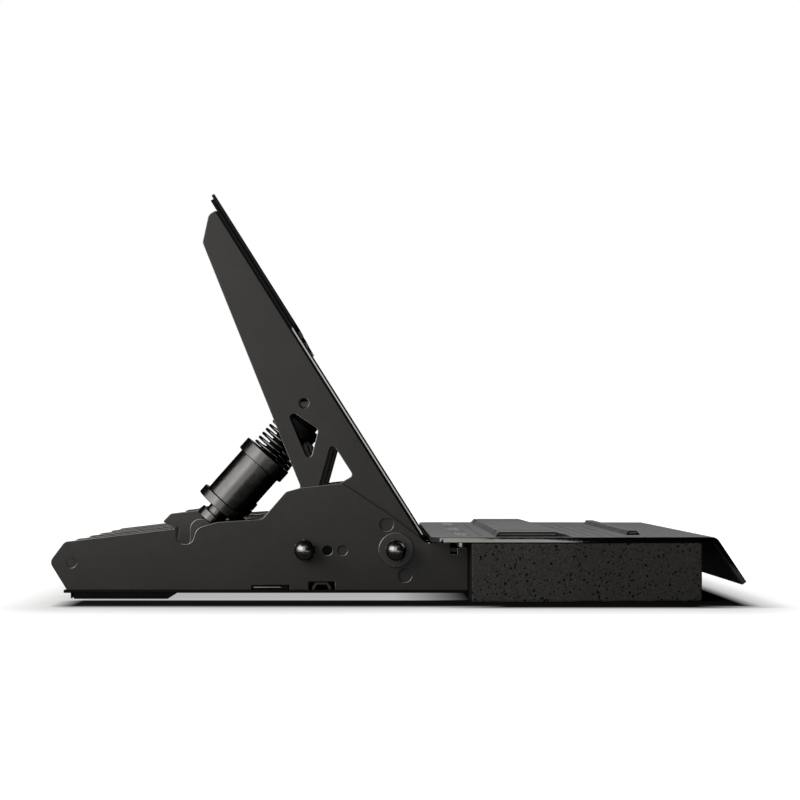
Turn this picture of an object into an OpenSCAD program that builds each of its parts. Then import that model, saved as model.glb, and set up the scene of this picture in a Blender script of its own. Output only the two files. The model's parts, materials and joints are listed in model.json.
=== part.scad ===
// Sim racing pedal set: three pedals in steel frames on a base plate, with a heel plate in front
// X points to the driver, Y to the driver's right and Z up, and the floor is at Z 0

/* [Base] */
// Distance from the origin back to the tips of the frames
rear_reach = 230; // [180:1:280]
// Distance between the middles of two neighbouring pedals
pedal_pitch = 98.5; // [85:0.5:130]
// Thickness of the base plate
base_t = 2; // [1:0.1:4]
// Distance from the frame tips to the rear edge of the base plate
base_inset = 9.5; // [4:0.1:20]
// Spacing of the rig bolt holes, front to back
rig_pitch_x = 180; // [120:1:220]
// Diameter of the rig bolt holes
rig_hole_d = 6.4; // [4:0.1:9]
// Thickness of the rubber feet
foot_t = 4; // [2:0.2:8]
// Length of each rubber foot
foot_l = 66.8; // [40:0.2:90]
// Distance from the frame tips to the rubber feet
foot_inset = 16.3; // [8:0.1:30]
// Thickness of the folded lip behind the feet
lip_t = 0.8; // [0.5:0.1:2]
// Gap between the folded lip and the floor
lip_gap = 0.4; // [0.2:0.1:1.5]

/* [Frame] */
// Length of a frame from its rear tip to its front end
frame_l = 279.2; // [240:0.2:320]
// Height of a frame's peak above the base plate
frame_h = 71.2; // [60:0.2:90]
// Thickness of a frame's side plate
side_t = 2.5; // [1.5:0.1:4]
// Radius that the corner shares of the plates refer to
corner_r = 5; // [3:0.1:6]
// Length of the flat rail's slot in the lower edge
rail_slot_l = 25.2; // [18:0.1:30]
// Thickness of the flat cross rail
flat_rail_t = 2.9; // [2:0.1:4]
// Length of the arched rail's slot in the lower edge
arch_slot_l = 17.6; // [12:0.1:20]
// Height of the arched cross rail
arch_rail_h = 5; // [3:0.1:6]
// Sheet thickness of the arched cross rail
arch_rail_t = 1.6; // [1:0.1:2]
// Width of the arched cross rail
arch_rail_w = 13; // [9:0.1:15]
// Diameter of the open adjusting hole
adjust_hole_d = 6.4; // [4:0.1:8]
// Diameter of the large press-in studs
stud_d = 9; // [6:0.1:11]
// Diameter of the small press-in stud
small_stud_d = 6.6; // [4:0.1:8]
// Diameter of the rear tie pin
tie_pin_d = 6.4; // [4:0.1:8]

/* [Pivot and stop] */
// Distance from the frame's front end back to the pivot
pivot_setback = 48; // [42:0.5:60]
// Height of the pivot above the base plate
pivot_rise = 26.7; // [24:0.1:32]
// Diameter of the pivot bolt and the stop bolt
bolt_d = 8; // [6:0.1:9]
// Outer diameter of the pivot tube between the arm plates
pivot_tube_d = 20; // [14:0.5:24]
// Diameter of the washer under the pivot nut
washer_d = 23.4; // [16:0.1:26]
// Thickness of the washer under the pivot nut
washer_t = 1.5; // [0.8:0.1:2.5]
// Width of the dome nut across its flats
nut_af = 13; // [11:0.1:15]
// Height of the hexagon of the dome nut
nut_hex_h = 6.5; // [4:0.1:8]
// Height of the dome nut over all
nut_h = 15; // [12.5:0.1:18]
// Distance from the pivot back to the stop bolt
stop_back = 60.7; // [56:0.1:64]
// Outer diameter of the rubber sleeve on the stop bolt
stop_rubber_d = 10.8; // [9.5:0.1:12]
// Travel of a pedal arm in degrees
arm_travel = 11; // [6:0.5:12]

/* [Arm] */
// Lean of the arm away from the driver at rest
arm_lean = 32.23; // [28:0.1:36]
// Length of the arm from the pivot to its top
arm_l = 256.2; // [220:0.2:290]
// Width of the arm plate at its root
arm_root_w = 51.2; // [46:0.1:55]
// Distance from the pivot to the front edge of the arm plates
arm_front = 19.6; // [17:0.1:22]
// Thickness of an arm plate
arm_t = 2; // [1.5:0.1:3]
// Clear width between the arm plates
arm_gap = 37.2; // [36:0.1:42]
// Running gap between an arm plate and the frame
side_gap = 0.3; // [0.2:0.05:1]
// Diameter of the hole in the arm plates
arm_hole_d = 6.6; // [5:0.1:8]

/* [Face plate and pad] */
// Width of the thin face plate
face_w = 50; // [46:0.5:64]
// Thickness of the thin face plate
face_t = 2.3; // [1.5:0.1:3]
// Length of the pad
pad_l = 108; // [85:0.5:110]
// Width of the pad
pad_w = 64; // [54:0.5:80]
// Thickness of the pad
pad_t = 2.2; // [1.8:0.1:5]
// Distance that the pad stands above the top of the arm
pad_over = 9.1; // [2:0.1:12]
// Distance that the face plate stands above the top of the arm
face_over = 7.3; // [1:0.1:9]
// Radius of the pad's corners
pad_corner_r = 8; // [4:0.5:12]
// Diameter of the grip holes in the pad
grip_hole_d = 7; // [4:0.1:9]
// Diameter of the pad screws
pad_screw_d = 5; // [4:0.1:6]

/* [Strut] */
// Distance up the arm from the pivot to the strut's upper pin
upper_rise = 112.7; // [108:0.1:118]
// Distance of the upper pin in front of the pivot line
upper_front = 5; // [2:0.1:8]
// Distance from the pivot back to the strut's lower pin
lower_back = 131.1; // [126:0.1:136]
// Height of the lower pin above the pivot
lower_rise = 13.2; // [10:0.1:16]
// Diameter of the lower pin
lower_pin_d = 6; // [4:0.1:7]
// Diameter of the upper pin
upper_pin_d = 8; // [6:0.1:9]
// Radius of the eye at the lower pin
lower_eye_r = 6.9; // [5.5:0.1:8]
// Radius of the eye at the upper pin
upper_eye_r = 7.5; // [6.5:0.1:8]
// Width of the eye at the upper pin
upper_eye_w = 10; // [8:0.1:12]
// Distance from the lower pin to the collar
collar_at = 6.8; // [5:0.1:8]
// Height of the collar
collar_h = 5.9; // [4:0.1:8]
// Height of the neck between collar and barrel
neck_h = 5.2; // [3:0.1:8]
// Height of the barrel's lower flange
low_flange_h = 6.5; // [4:0.1:8]
// Length of the plain part of the barrel
tube_l = 33.8; // [28:0.1:38]
// Height of the barrel's upper flange
top_flange_h = 9; // [6:0.1:11]
// Height of the plunger's cap
cap_h = 6.5; // [4:0.1:8]
// Distance from the cap's spring face to the upper pin
cap_to_pin = 21.7; // [20:0.1:24]
// Height of the boss above the cap
boss_h = 5.9; // [4:0.1:6.4]
// Thickness of the barrel's floor
barrel_floor_t = 4.2; // [3:0.1:6]
// Wall of the inner guide sleeve
sleeve_wall = 1.6; // [1:0.1:2]
// Distance from the guide sleeve's top to the barrel's mouth
sleeve_sink = 5.2; // [3:0.1:9]
// Length of the rod inside the sleeve at rest
rod_grip = 17; // [10:0.5:20]

/* [Clutch strut] */
// Diameter of the clutch barrel
clutch_tube_d = 31.7; // [28:0.1:33]
// Diameter of the clutch barrel's lower flange
clutch_flange_d = 37.3; // [34:0.1:39]
// Wall of the clutch barrel
clutch_wall = 1.85; // [1.2:0.05:2.5]
// Diameter of the clutch collar
clutch_collar_d = 21; // [16:0.1:21.4]
// Diameter of the clutch boss
clutch_boss_d = 24; // [16:0.1:25]
// Wire diameter of the clutch spring
clutch_wire_d = 2; // [1.2:0.1:2.2]
// Curls of the clutch spring
clutch_curls = 18; // [12:1:19]
// Outer diameter of the clutch guide sleeve
clutch_sleeve_d = 14; // [11:0.1:18]

/* [Brake strut] */
// Diameter of the brake barrel
brake_tube_d = 23; // [20:0.1:26]
// Diameter of the brake barrel's flanges
brake_flange_d = 27; // [24:0.1:30]
// Wall of the brake barrel
brake_wall = 1.6; // [1.2:0.05:2]
// Diameter of the brake collar
brake_collar_d = 14; // [12:0.1:18]
// Diameter of the brake boss
brake_boss_d = 15; // [12:0.1:20]
// Wire diameter of the brake spring
brake_wire_d = 3.2; // [2.4:0.1:3.4]
// Curls of the brake spring
brake_curls = 9; // [6:1:9]
// Outer diameter of the brake guide sleeve
brake_sleeve_d = 10.6; // [9:0.1:11]

/* [Throttle strut] */
// Diameter of the throttle barrel
throttle_tube_d = 15.6; // [14.6:0.1:18]
// Diameter of the throttle barrel's flanges
throttle_flange_d = 19; // [17:0.1:22]
// Wall of the throttle barrel
throttle_wall = 1.3; // [1:0.05:1.6]
// Diameter of the throttle collar
throttle_collar_d = 12; // [10:0.1:15]
// Diameter of the throttle boss
throttle_boss_d = 11; // [9:0.1:14]
// Wire diameter of the throttle spring
throttle_wire_d = 1.2; // [0.8:0.1:1.5]
// Curls of the throttle spring
throttle_curls = 20; // [14:1:22]
// Outer diameter of the throttle guide sleeve
throttle_sleeve_d = 8; // [7:0.1:8.6]

/* [Strut bracket] */
// Thickness of the bracket's sheet
bracket_t = 3; // [2:0.1:4]
// Clear width between the bracket's cheeks
bracket_gap = 22; // [21.6:0.1:26]
// Radius of the near cheek's round top
cheek_r = 7.4; // [6:0.1:8.5]
// Length of the bracket's floor
bracket_l = 44; // [34:0.5:56]

/* [Heel plate] */
// Width of the heel plate
heel_w = 301.4; // [280:0.2:340]
// Thickness of the heel plate
heel_t = 3.6; // [2:0.1:4]
// Overlap of the heel plate over the frames
heel_overlap = 25.5; // [24.5:0.1:27]
// Distance from the foam block's front to the heel plate's bend
heel_ahead = 9.5; // [5:0.1:25]
// Length of the front lip
heel_lip_l = 35.4; // [20:0.1:36]
// Angle of the front lip below level
heel_lip_angle = 56.1; // [40:0.1:60]
// Radius of the bend over the lip
heel_bend_r = 6; // [4:0.1:10]
// Radius of the heel plate's rear corners
heel_corner_r = 8; // [3:0.5:12]
// Length of the straight sides before the taper
heel_straight_l = 93.6; // [70:0.1:120]
// Taper of each side in degrees
heel_taper = 3.14; // [1:0.01:5]
// Width of the wide heel ridge at its foot
ridge_w = 50; // [35:0.5:55]
// Height of the wide heel ridge
ridge_h = 3.1; // [1.5:0.1:5]
// Width of the narrow heel ridge at its foot
rib_w = 10; // [8:0.1:16]
// Height of the narrow heel ridge
rib_h = 2.9; // [1.5:0.1:4]
// Length of the narrow heel ridge
rib_l = 224; // [150:1:240]
// Diameter of the heel plate screws
heel_screw_d = 5; // [4:0.1:6]

/* [Foam block] */
// Length of the foam block
foam_l = 151.2; // [120:0.2:180]
// Height of the foam block
foam_h = 38.7; // [38:0.1:44]
// Distance of the foam's sides inside the heel plate's edges
foam_inset = 0.5; // [0:0.1:5]

/* [Electronics] */
// Length of the controller housing
box_l = 84; // [60:1:110]
// Width of the controller housing
box_w = 44; // [30:0.5:48]
// Height of the controller housing with its lid
box_h = 24; // [16:0.5:30]
// Wall of the controller housing
box_wall = 2; // [1.2:0.1:3]
// Thickness of the controller board
board_t = 1.6; // [0.8:0.1:2]
// Width of the socket's mouth
socket_w = 9; // [7:0.1:12]
// Height of the socket's mouth
socket_h = 3.2; // [2.4:0.1:5]
// Depth of the socket
socket_depth = 7; // [5:0.1:9]
// Side of the load cell's square bar
cell_side = 12.7; // [10:0.1:13]
// Length of the load cell
cell_l = 70; // [60:0.5:76]
// Length of a position sensor's housing
sensor_l = 22; // [16:0.5:26]
// Width of a position sensor's housing
sensor_w = 26; // [16:0.5:32]
// Height of a position sensor's housing
sensor_h = 14; // [8:0.2:15]

/* [Hidden] */
$fn = 48;

// Overrun of every cut past the face that it leaves by
over = 1;
// Radial clearance of a running fit
run_gap = 0.05;
// Radial clearance of a bolt in a plate
bolt_gap = 0.1;
// Clearance of pieces that sit in a slot
slot_gap = 0.5;
// Radial clearance at the open upper pivot of a strut
open_gap = 0.3;
// Clearance of the strut's widest part between the arm plates
strut_gap = 0.4;
// Clearance of a spring in its barrel
spring_gap = 0.5;
// Clearance between a soft block and its neighbour
soft_gap = 0.3;
// Clearance of the stop rubber in the arm's curved slot
stop_gap = 0.4;
// Chamfer on turned edges
turned_edge = 0.4;
// Steps in each rounded corner of a plate
corner_steps = 5;
// Rings in each curl of a spring, and sides of its wire
curl_rings = 8;
wire_sides = 6;

// Index of each pedal, from the driver's left
pedals = [0, 1, 2];
clutch_index = pedals[0];
brake_index = pedals[1];
throttle_index = pedals[2];

frame_w = arm_gap + 2 * (arm_t + side_gap + side_t);
frame_inner = frame_w / 2 - side_t;
base_z = foot_t + base_t;
rear_x = -rear_reach;
front_x = rear_x + frame_l;
pivot_x = front_x - pivot_setback;
pivot_z = base_z + pivot_rise;
stop_x = pivot_x - stop_back;
set_half_w = pedal_pitch + frame_w / 2;
strut_room = arm_gap - 2 * strut_gap;

// Places along the arm: how far in front of the pivot line, and how far up from the pivot
function pedal_y(i) = (i - 1) * pedal_pitch;
function on_arm_x(b, a) = pivot_x + b * cos(arm_lean) - a * sin(arm_lean);
function on_arm_z(b, a) = pivot_z + b * sin(arm_lean) + a * cos(arm_lean);
function to_arm(x, z) = [
  x * cos(arm_lean) + z * sin(arm_lean),
  z * cos(arm_lean) - x * sin(arm_lean)
];

upper_x = on_arm_x(upper_front, upper_rise);
upper_z = on_arm_z(upper_front, upper_rise);
lower_x = pivot_x - lower_back;
lower_z = pivot_z + lower_rise;
strut_l = norm([upper_x - lower_x, upper_z - lower_z]);
strut_angle = atan2(upper_z - lower_z, upper_x - lower_x);

// Heights along the strut, counted from its lower pin
collar_top = collar_at + collar_h;
barrel_foot = collar_top + neck_h;
low_flange_top = barrel_foot + low_flange_h;
tube_top = low_flange_top + tube_l;
mouth_at = tube_top + top_flange_h;
spring_foot = low_flange_top + barrel_floor_t;
sleeve_top = mouth_at - sleeve_sink;
cap_at = strut_l - cap_to_pin;
rod_foot = sleeve_top - rod_grip;
sleeve_foot = barrel_foot + turned_edge;

// Sizes of the three struts: tube, lower flange, upper flange, wall, collar, boss, wire, curls, sleeve
strut_sizes = [
  [clutch_tube_d, clutch_flange_d, strut_room, clutch_wall, clutch_collar_d, clutch_boss_d,
   clutch_wire_d, clutch_curls, clutch_sleeve_d],
  [brake_tube_d, brake_flange_d, brake_flange_d, brake_wall, brake_collar_d, brake_boss_d,
   brake_wire_d, brake_curls, brake_sleeve_d],
  [throttle_tube_d, throttle_flange_d, throttle_flange_d, throttle_wall, throttle_collar_d,
   throttle_boss_d, throttle_wire_d, throttle_curls, throttle_sleeve_d]
];
function tube_d(i) = strut_sizes[i][0];
function low_flange_d(i) = strut_sizes[i][1];
function top_flange_d(i) = strut_sizes[i][2];
function bore_d(i) = strut_sizes[i][0] - 2 * strut_sizes[i][3];
function collar_d(i) = strut_sizes[i][4];
function boss_d(i) = strut_sizes[i][5];
function wire_d(i) = strut_sizes[i][6];
function curls(i) = strut_sizes[i][7];
function sleeve_d(i) = strut_sizes[i][8];
function coil_r(i) = bore_d(i) / 2 - spring_gap - wire_d(i) / 2;
function rod_d(i) = sleeve_d(i) - 2 * sleeve_wall - 2 * run_gap;
function cap_d(i) = top_flange_d(i) - 2 * turned_edge;

// Rounds each corner [x, y, radius] of an outline
function unit(v) = v / norm(v);
function turn(a) = a > 180 ? a - 360 : (a < -180 ? a + 360 : a);
function corner_arc(a, b, c, r) =
  let (
    u = unit(a - b),
    v = unit(c - b),
    half = acos(u * v) / 2,
    centre = b + unit(u + v) * r / sin(half),
    first = b + u * r / tan(half) - centre,
    last = b + v * r / tan(half) - centre,
    start = atan2(first.y, first.x),
    sweep = turn(atan2(last.y, last.x) - start)
  )
  [for (k = [0:corner_steps])
    centre + r * [cos(start + sweep * k / corner_steps), sin(start + sweep * k / corner_steps)]];
function flat(p) = [p[0], p[1]];
function rounded(pts) = [
  for (i = [0:len(pts) - 1])
    let (
      before = flat(pts[(i + len(pts) - 1) % len(pts)]),
      here = flat(pts[i]),
      after = flat(pts[(i + 1) % len(pts)])
    )
    each (pts[i][2] > 0 ? corner_arc(before, here, after, pts[i][2]) : [here])
];

// Flat plate whose outline lies in X and Z, from y on
module plate_xz(outline, y, t) {
  translate([0, y + t, 0])
    rotate([90, 0, 0])
      linear_extrude(t)
        polygon(outline);
}

// Cylinder along Y, from y on
module rod_y(x, z, d, y, l) {
  translate([x, y, z])
    rotate([-90, 0, 0])
      cylinder(h = l, d = d);
}

// Rounded rectangle in X and Y, centred
module round_rect(l, w, r) {
  polygon(rounded([
    [-l / 2, -w / 2, r],
    [l / 2, -w / 2, r],
    [l / 2, w / 2, r],
    [-l / 2, w / 2, r]
  ]));
}

// Moves a piece to pedal i, to the arm's own axes, or to the strut's axis
module at_pedal(i) {
  translate([0, pedal_y(i), 0])
    children();
}

module on_arm(i) {
  translate([pivot_x, pedal_y(i), pivot_z])
    rotate([0, -arm_lean, 0])
      children();
}

module on_strut(i) {
  translate([lower_x, pedal_y(i), lower_z])
    rotate([0, 90 - strut_angle, 0])
      children();
}

// Side plate outline: shares of the frame's length and height, and of the corner radius
frame_shares = [
  [0, 0.2626, 1], [0.0363, 0.4513, 0.8], [0.3027, 0.5758, 0.2], [0.3027, 0.4298, 1.06],
  [0.3413, 0.4298, 1.06], [0.3507, 0.5787, 1.5], [0.4015, 0.6362, 1.2], [0.5082, 0.6629, 1],
  [0.5647, 0.9185, 1], [0.6024, 0.9593, 1], [0.6988, 1, 1.2], [0.7239, 0.9368, 0.8],
  [0.822, 0.6784, 2], [0.8957, 0.4551, 0.8], [0.9036, 0.4396, 0.4], [0.9581, 0.4396, 0.1],
  [0.9581, 0.337, 0.1], [0.9742, 0.337, 0.1], [0.9742, 0.3947, 0.1], [1, 0.3947, 0.2],
  [1, 0, 0], [0.0419, 0, 0]
];
frame_outline = rounded([for (p = frame_shares)
  [rear_x + p[0] * frame_l, base_z + p[1] * frame_h, p[2] * corner_r]]);
step_share = 0.3947;
step_z = base_z + step_share * frame_h;

// Shares of the frame's length: middles of the two rail slots
flat_slot_share = 0.5283;
arch_slot_share = 0.6507;
flat_rail_x = rear_x + flat_slot_share * frame_l;
arch_rail_x = rear_x + arch_slot_share * frame_l;

// Places of the holes and studs, as shares of the stop distance from the pivot
adjust_hole_share = [-0.753, -0.006];
small_stud_share = [-0.588, -0.006];
stud_shares = [[-0.104, 0.28], [0.099, -0.28]];
function off_pivot(s) = [pivot_x + s[0] * stop_back, pivot_z + s[1] * stop_back];

// Place of the rear tie pin, as shares of the frame's length and height
tie_pin_share = [0.053, 0.254];
tie_pin_x = rear_x + tie_pin_share[0] * frame_l;
tie_pin_z = base_z + tie_pin_share[1] * frame_h;

module side_plate(y) {
  difference() {
    plate_xz(frame_outline, y, side_t);
    translate([flat_rail_x - rail_slot_l / 2, y - over, base_z - over])
      cube([rail_slot_l, side_t + 2 * over, flat_rail_t + slot_gap / 2 + over]);
    translate([arch_rail_x - arch_slot_l / 2, y - over, base_z - over])
      cube([arch_slot_l, side_t + 2 * over, arch_rail_h + slot_gap + over]);
    rod_y(pivot_x, pivot_z, bolt_d + 2 * bolt_gap, y - over, side_t + 2 * over);
    rod_y(stop_x, pivot_z, bolt_d + 2 * bolt_gap, y - over, side_t + 2 * over);
    rod_y(off_pivot(adjust_hole_share)[0], off_pivot(adjust_hole_share)[1], adjust_hole_d,
          y - over, side_t + 2 * over);
    rod_y(off_pivot(small_stud_share)[0], off_pivot(small_stud_share)[1], small_stud_d,
          y - over, side_t + 2 * over);
    for (s = stud_shares)
      rod_y(off_pivot(s)[0], off_pivot(s)[1], stud_d, y - over, side_t + 2 * over);
    rod_y(tie_pin_x, tie_pin_z, tie_pin_d, y - over, side_t + 2 * over);
  }
}

module frame(i) {
  color("#35332f")
    at_pedal(i) {
      side_plate(-frame_w / 2);
      side_plate(frame_inner);
    }
}

// Base plate with the folded lip at its rear edge and four rig bolt holes
module base_plate() {
  plate_x = rear_x + base_inset;
  plate_l = front_x - plate_x;
  hole_x = plate_x + plate_l / 2;
  color("#2a2927")
    difference() {
      union() {
        translate([plate_x, -set_half_w, foot_t])
          cube([plate_l, 2 * set_half_w, base_t]);
        translate([rear_x + foot_inset - 2 * lip_t - lip_t / 2, -set_half_w, lip_gap])
          cube([lip_t, 2 * set_half_w, foot_t - lip_gap + base_t / 2]);
      }
      for (sx = [-1, 1], sy = [-1, 1])
        translate([hole_x + sx * rig_pitch_x / 2, sy * pedal_pitch / 2, foot_t - over])
          cylinder(h = base_t + 2 * over, d = rig_hole_d);
    }
}

module flat_cross_rail() {
  rail_l = rail_slot_l - 2 * slot_gap;
  color("#3a3a38")
    translate([flat_rail_x - rail_l / 2, -set_half_w + slot_gap, base_z])
      cube([rail_l, 2 * (set_half_w - slot_gap), flat_rail_t]);
}

// Arched rail: a strip bent over two legs, with a slanting flank on each side
module arch_cross_rail() {
  half = arch_rail_w / 2;
  top_half = half * 0.62;
  color("#4a4a48")
    plate_xz([
      [arch_rail_x - half, base_z],
      [arch_rail_x - half, base_z + arch_rail_h / 3],
      [arch_rail_x - top_half, base_z + arch_rail_h],
      [arch_rail_x + top_half, base_z + arch_rail_h],
      [arch_rail_x + half, base_z + arch_rail_h / 3],
      [arch_rail_x + half, base_z],
      [arch_rail_x + half - arch_rail_t, base_z],
      [arch_rail_x + top_half - arch_rail_t / 2, base_z + arch_rail_h - arch_rail_t],
      [arch_rail_x - top_half + arch_rail_t / 2, base_z + arch_rail_h - arch_rail_t],
      [arch_rail_x - half + arch_rail_t, base_z]
    ], -set_half_w + slot_gap, 2 * (set_half_w - slot_gap));
}

// Rubber strip under each frame, chamfered at its front end
module rear_feet() {
  foot_x = rear_x + foot_inset;
  color("#151515")
    for (i = pedals)
      at_pedal(i)
        plate_xz([
          [foot_x, 0],
          [foot_x + foot_l - foot_t, 0],
          [foot_x + foot_l, foot_t],
          [foot_x, foot_t]
        ], -frame_w / 2, frame_w);
}

// Flush studs pressed into the side plates
module frame_studs() {
  color("#2f2e2b")
    for (i = pedals, y = [-frame_w / 2, frame_inner])
      at_pedal(i) {
        for (s = stud_shares)
          rod_y(off_pivot(s)[0], off_pivot(s)[1], stud_d, y, side_t);
        rod_y(off_pivot(small_stud_share)[0], off_pivot(small_stud_share)[1], small_stud_d, y, side_t);
      }
}

module rear_tie_pins() {
  color("#3a3936")
    for (i = pedals)
      at_pedal(i)
        rod_y(tie_pin_x, tie_pin_z, tie_pin_d, -frame_w / 2, frame_w);
}

// Bolts that pass through a frame and end inside the dome nuts
nut_bore_depth = nut_h - (nut_h - nut_hex_h) / 2;
pivot_bolt_l = frame_w + 2 * washer_t + 2 * nut_bore_depth - 2 * turned_edge;
stop_bolt_l = frame_w + 2 * nut_bore_depth - 2 * turned_edge;

module pivot_bolts() {
  color("#8d8d8a")
    for (i = pedals)
      at_pedal(i)
        rod_y(pivot_x, pivot_z, bolt_d, -pivot_bolt_l / 2, pivot_bolt_l);
}

module stop_bolts() {
  color("#8d8d8a")
    for (i = pedals)
      at_pedal(i)
        rod_y(stop_x, pivot_z, bolt_d, -stop_bolt_l / 2, stop_bolt_l);
}

module pivot_washers() {
  color("#2b2b2a")
    for (i = pedals, side = [0, 1])
      at_pedal(i)
        mirror([0, side, 0])
          difference() {
            rod_y(pivot_x, pivot_z, washer_d, frame_w / 2, washer_t);
            rod_y(pivot_x, pivot_z, bolt_d + 2 * bolt_gap, frame_w / 2 - over, washer_t + 2 * over);
          }
}

// Dome nut along Z: a hexagon under a round cap, with a blind bore
module dome_nut() {
  dome_r = nut_af / 2 - turned_edge / 2;
  difference() {
    union() {
      cylinder(h = nut_hex_h, d = nut_af / cos(30), $fn = 6);
      cylinder(h = nut_h - dome_r, r = dome_r);
      translate([0, 0, nut_h - dome_r])
        sphere(r = dome_r);
    }
    translate([0, 0, -over])
      cylinder(h = nut_bore_depth + over, d = bolt_d + 2 * run_gap);
  }
}

module dome_nuts() {
  color("#1c1c1c")
    for (i = pedals, side = [0, 1])
      at_pedal(i)
        mirror([0, side, 0]) {
          translate([pivot_x, frame_w / 2 + washer_t, pivot_z])
            rotate([-90, 0, 0])
              dome_nut();
          translate([stop_x, frame_w / 2, pivot_z])
            rotate([-90, 0, 0])
              dome_nut();
        }
}

// Rubber sleeve on the stop bolt, which both arm plates meet at rest and at full travel
module stop_rubbers() {
  color("#1a1a1a")
    for (i = pedals)
      at_pedal(i)
        difference() {
          rod_y(stop_x, pivot_z, stop_rubber_d, -frame_inner, 2 * frame_inner);
          rod_y(stop_x, pivot_z, bolt_d + 2 * run_gap, -frame_inner - over, 2 * (frame_inner + over));
        }
}

// Arm plate outline: shares of the root width behind the front edge, of the length, and of the corner
arm_shares = [
  [0, -0.022, 0.4], [0, 1, 0.4], [0.123, 1, 1], [0.3818, 0.9471, 0.8], [1, 0.2695, 1]
];
// Lower edge of the arm plate, hidden in the frame: shares of the stop distance from the pivot
arm_root_shares = [
  [-1.219, 0.428, 1], [-1.2685, 0.082, 1], [-1.186, -0.115, 0.6], [-0.988, -0.155, 1],
  [-0.412, -0.214, 1], [0, -0.264, 1.4], [0.198, -0.231, 1], [0.329, -0.066, 0.8]
];
upper_window_shares = [[0.6115, 0.4683, 0.5], [0.4031, 0.3734, 0.5], [0.7422, 0.3089, 0.46]];
lower_window_shares = [[0.3426, 0.3277, 0.44], [0.3371, 0.2231, 0.5], [0.8967, 0.2276, 0.54]];
function arm_point(p) = [arm_front - p[0] * arm_root_w, p[1] * arm_l, p[2] * corner_r];
function root_point(p) =
  let (q = to_arm(p[0] * stop_back, p[1] * stop_back))
  [q[0], q[1], p[2] * corner_r];

// Curved slot for the stop rubber, about the pivot, in the arm's own axes
slot_half = stop_rubber_d / 2 + stop_gap;
function slot_at(r, angle) = to_arm(r * cos(angle), r * sin(angle));
n_slot = 10;
stop_slot = concat(
  [for (k = [0:n_slot]) slot_at(stop_back + slot_half, 180 - arm_travel * k / n_slot)],
  [for (k = [1:n_slot - 1]) slot_at(stop_back, 180 - arm_travel)
    + slot_half * slot_at(1, 180 - arm_travel - 180 * k / n_slot)],
  [for (k = [n_slot:-1:0]) slot_at(stop_back - slot_half, 180 - arm_travel * k / n_slot)],
  [for (k = [1:n_slot - 1]) slot_at(stop_back, 180) + slot_half * slot_at(1, 360 - 180 * k / n_slot)]
);

// Place of the round hole in the arm plates, as shares of the root width and the length
arm_hole_share = [0.3788, 0.4515];
arm_hole_b = arm_front - arm_hole_share[0] * arm_root_w;
arm_hole_a = arm_hole_share[1] * arm_l;

module arm_plate(y) {
  difference() {
    plate_xz(rounded(concat(
      [for (p = arm_shares) arm_point(p)],
      [for (p = arm_root_shares) root_point(p)]
    )), y, arm_t);
    plate_xz(rounded([for (p = upper_window_shares) arm_point(p)]), y - over, arm_t + 2 * over);
    plate_xz(rounded([for (p = lower_window_shares) arm_point(p)]), y - over, arm_t + 2 * over);
    plate_xz(stop_slot, y - over, arm_t + 2 * over);
    rod_y(arm_hole_b, arm_hole_a, arm_hole_d, y - over, arm_t + 2 * over);
    rod_y(0, 0, bolt_d + 2 * run_gap, y - over, arm_t + 2 * over);
  }
}

module arm_plates(i) {
  color("#37352f")
    on_arm(i) {
      arm_plate(-arm_gap / 2 - arm_t);
      arm_plate(arm_gap / 2);
    }
}

module pivot_tube(i) {
  color("#6f6a5c")
    on_arm(i)
      difference() {
        rod_y(0, 0, pivot_tube_d, -arm_gap / 2, arm_gap);
        rod_y(0, 0, bolt_d + 2 * run_gap, -arm_gap / 2 - over, arm_gap + 2 * over);
      }
}

// Places on the face plate and pad, counted up the arm from the pivot
face_foot = arm_shares[0][1] * arm_l;
face_top = arm_l + face_over;
pad_top = arm_l + pad_over;
pad_foot = pad_top - pad_l;
pad_screw_y = arm_gap / 4;
pad_screw_inset = pad_corner_r * 1.5;
pad_screw_places = [
  [pad_foot + pad_screw_inset, -pad_screw_y], [pad_foot + pad_screw_inset, pad_screw_y],
  [pad_top - pad_screw_inset, -pad_screw_y], [pad_top - pad_screw_inset, pad_screw_y]
];

// Sheet across the arm, from b to b + t in front of the pivot line and from a1 to a2 along it
module cross_sheet(b, t, a1, a2, w, r) {
  translate([b, 0, (a1 + a2) / 2])
    rotate([0, 90, 0])
      linear_extrude(t)
        round_rect(a2 - a1, w, r);
}

// Hole through the sheets at the height a and the place y across the arm
module cross_hole(b, t, a, y, d) {
  translate([b - over, y, a])
    rotate([0, 90, 0])
      cylinder(h = t + 2 * over, d = d);
}

module face_plate(i) {
  color("#3b3935")
    on_arm(i)
      difference() {
        cross_sheet(arm_front, face_t, face_foot, face_top, face_w, corner_r);
        for (p = pad_screw_places)
          cross_hole(arm_front, face_t, p[0], p[1], pad_screw_d + 2 * bolt_gap);
      }
}

// Countersink depth of the pad screws, and their head diameter
screw_head_d = pad_screw_d * 1.9;
screw_head_h = pad_t * 0.8;
grip_rows = 6;
grip_columns = 3;

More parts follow.
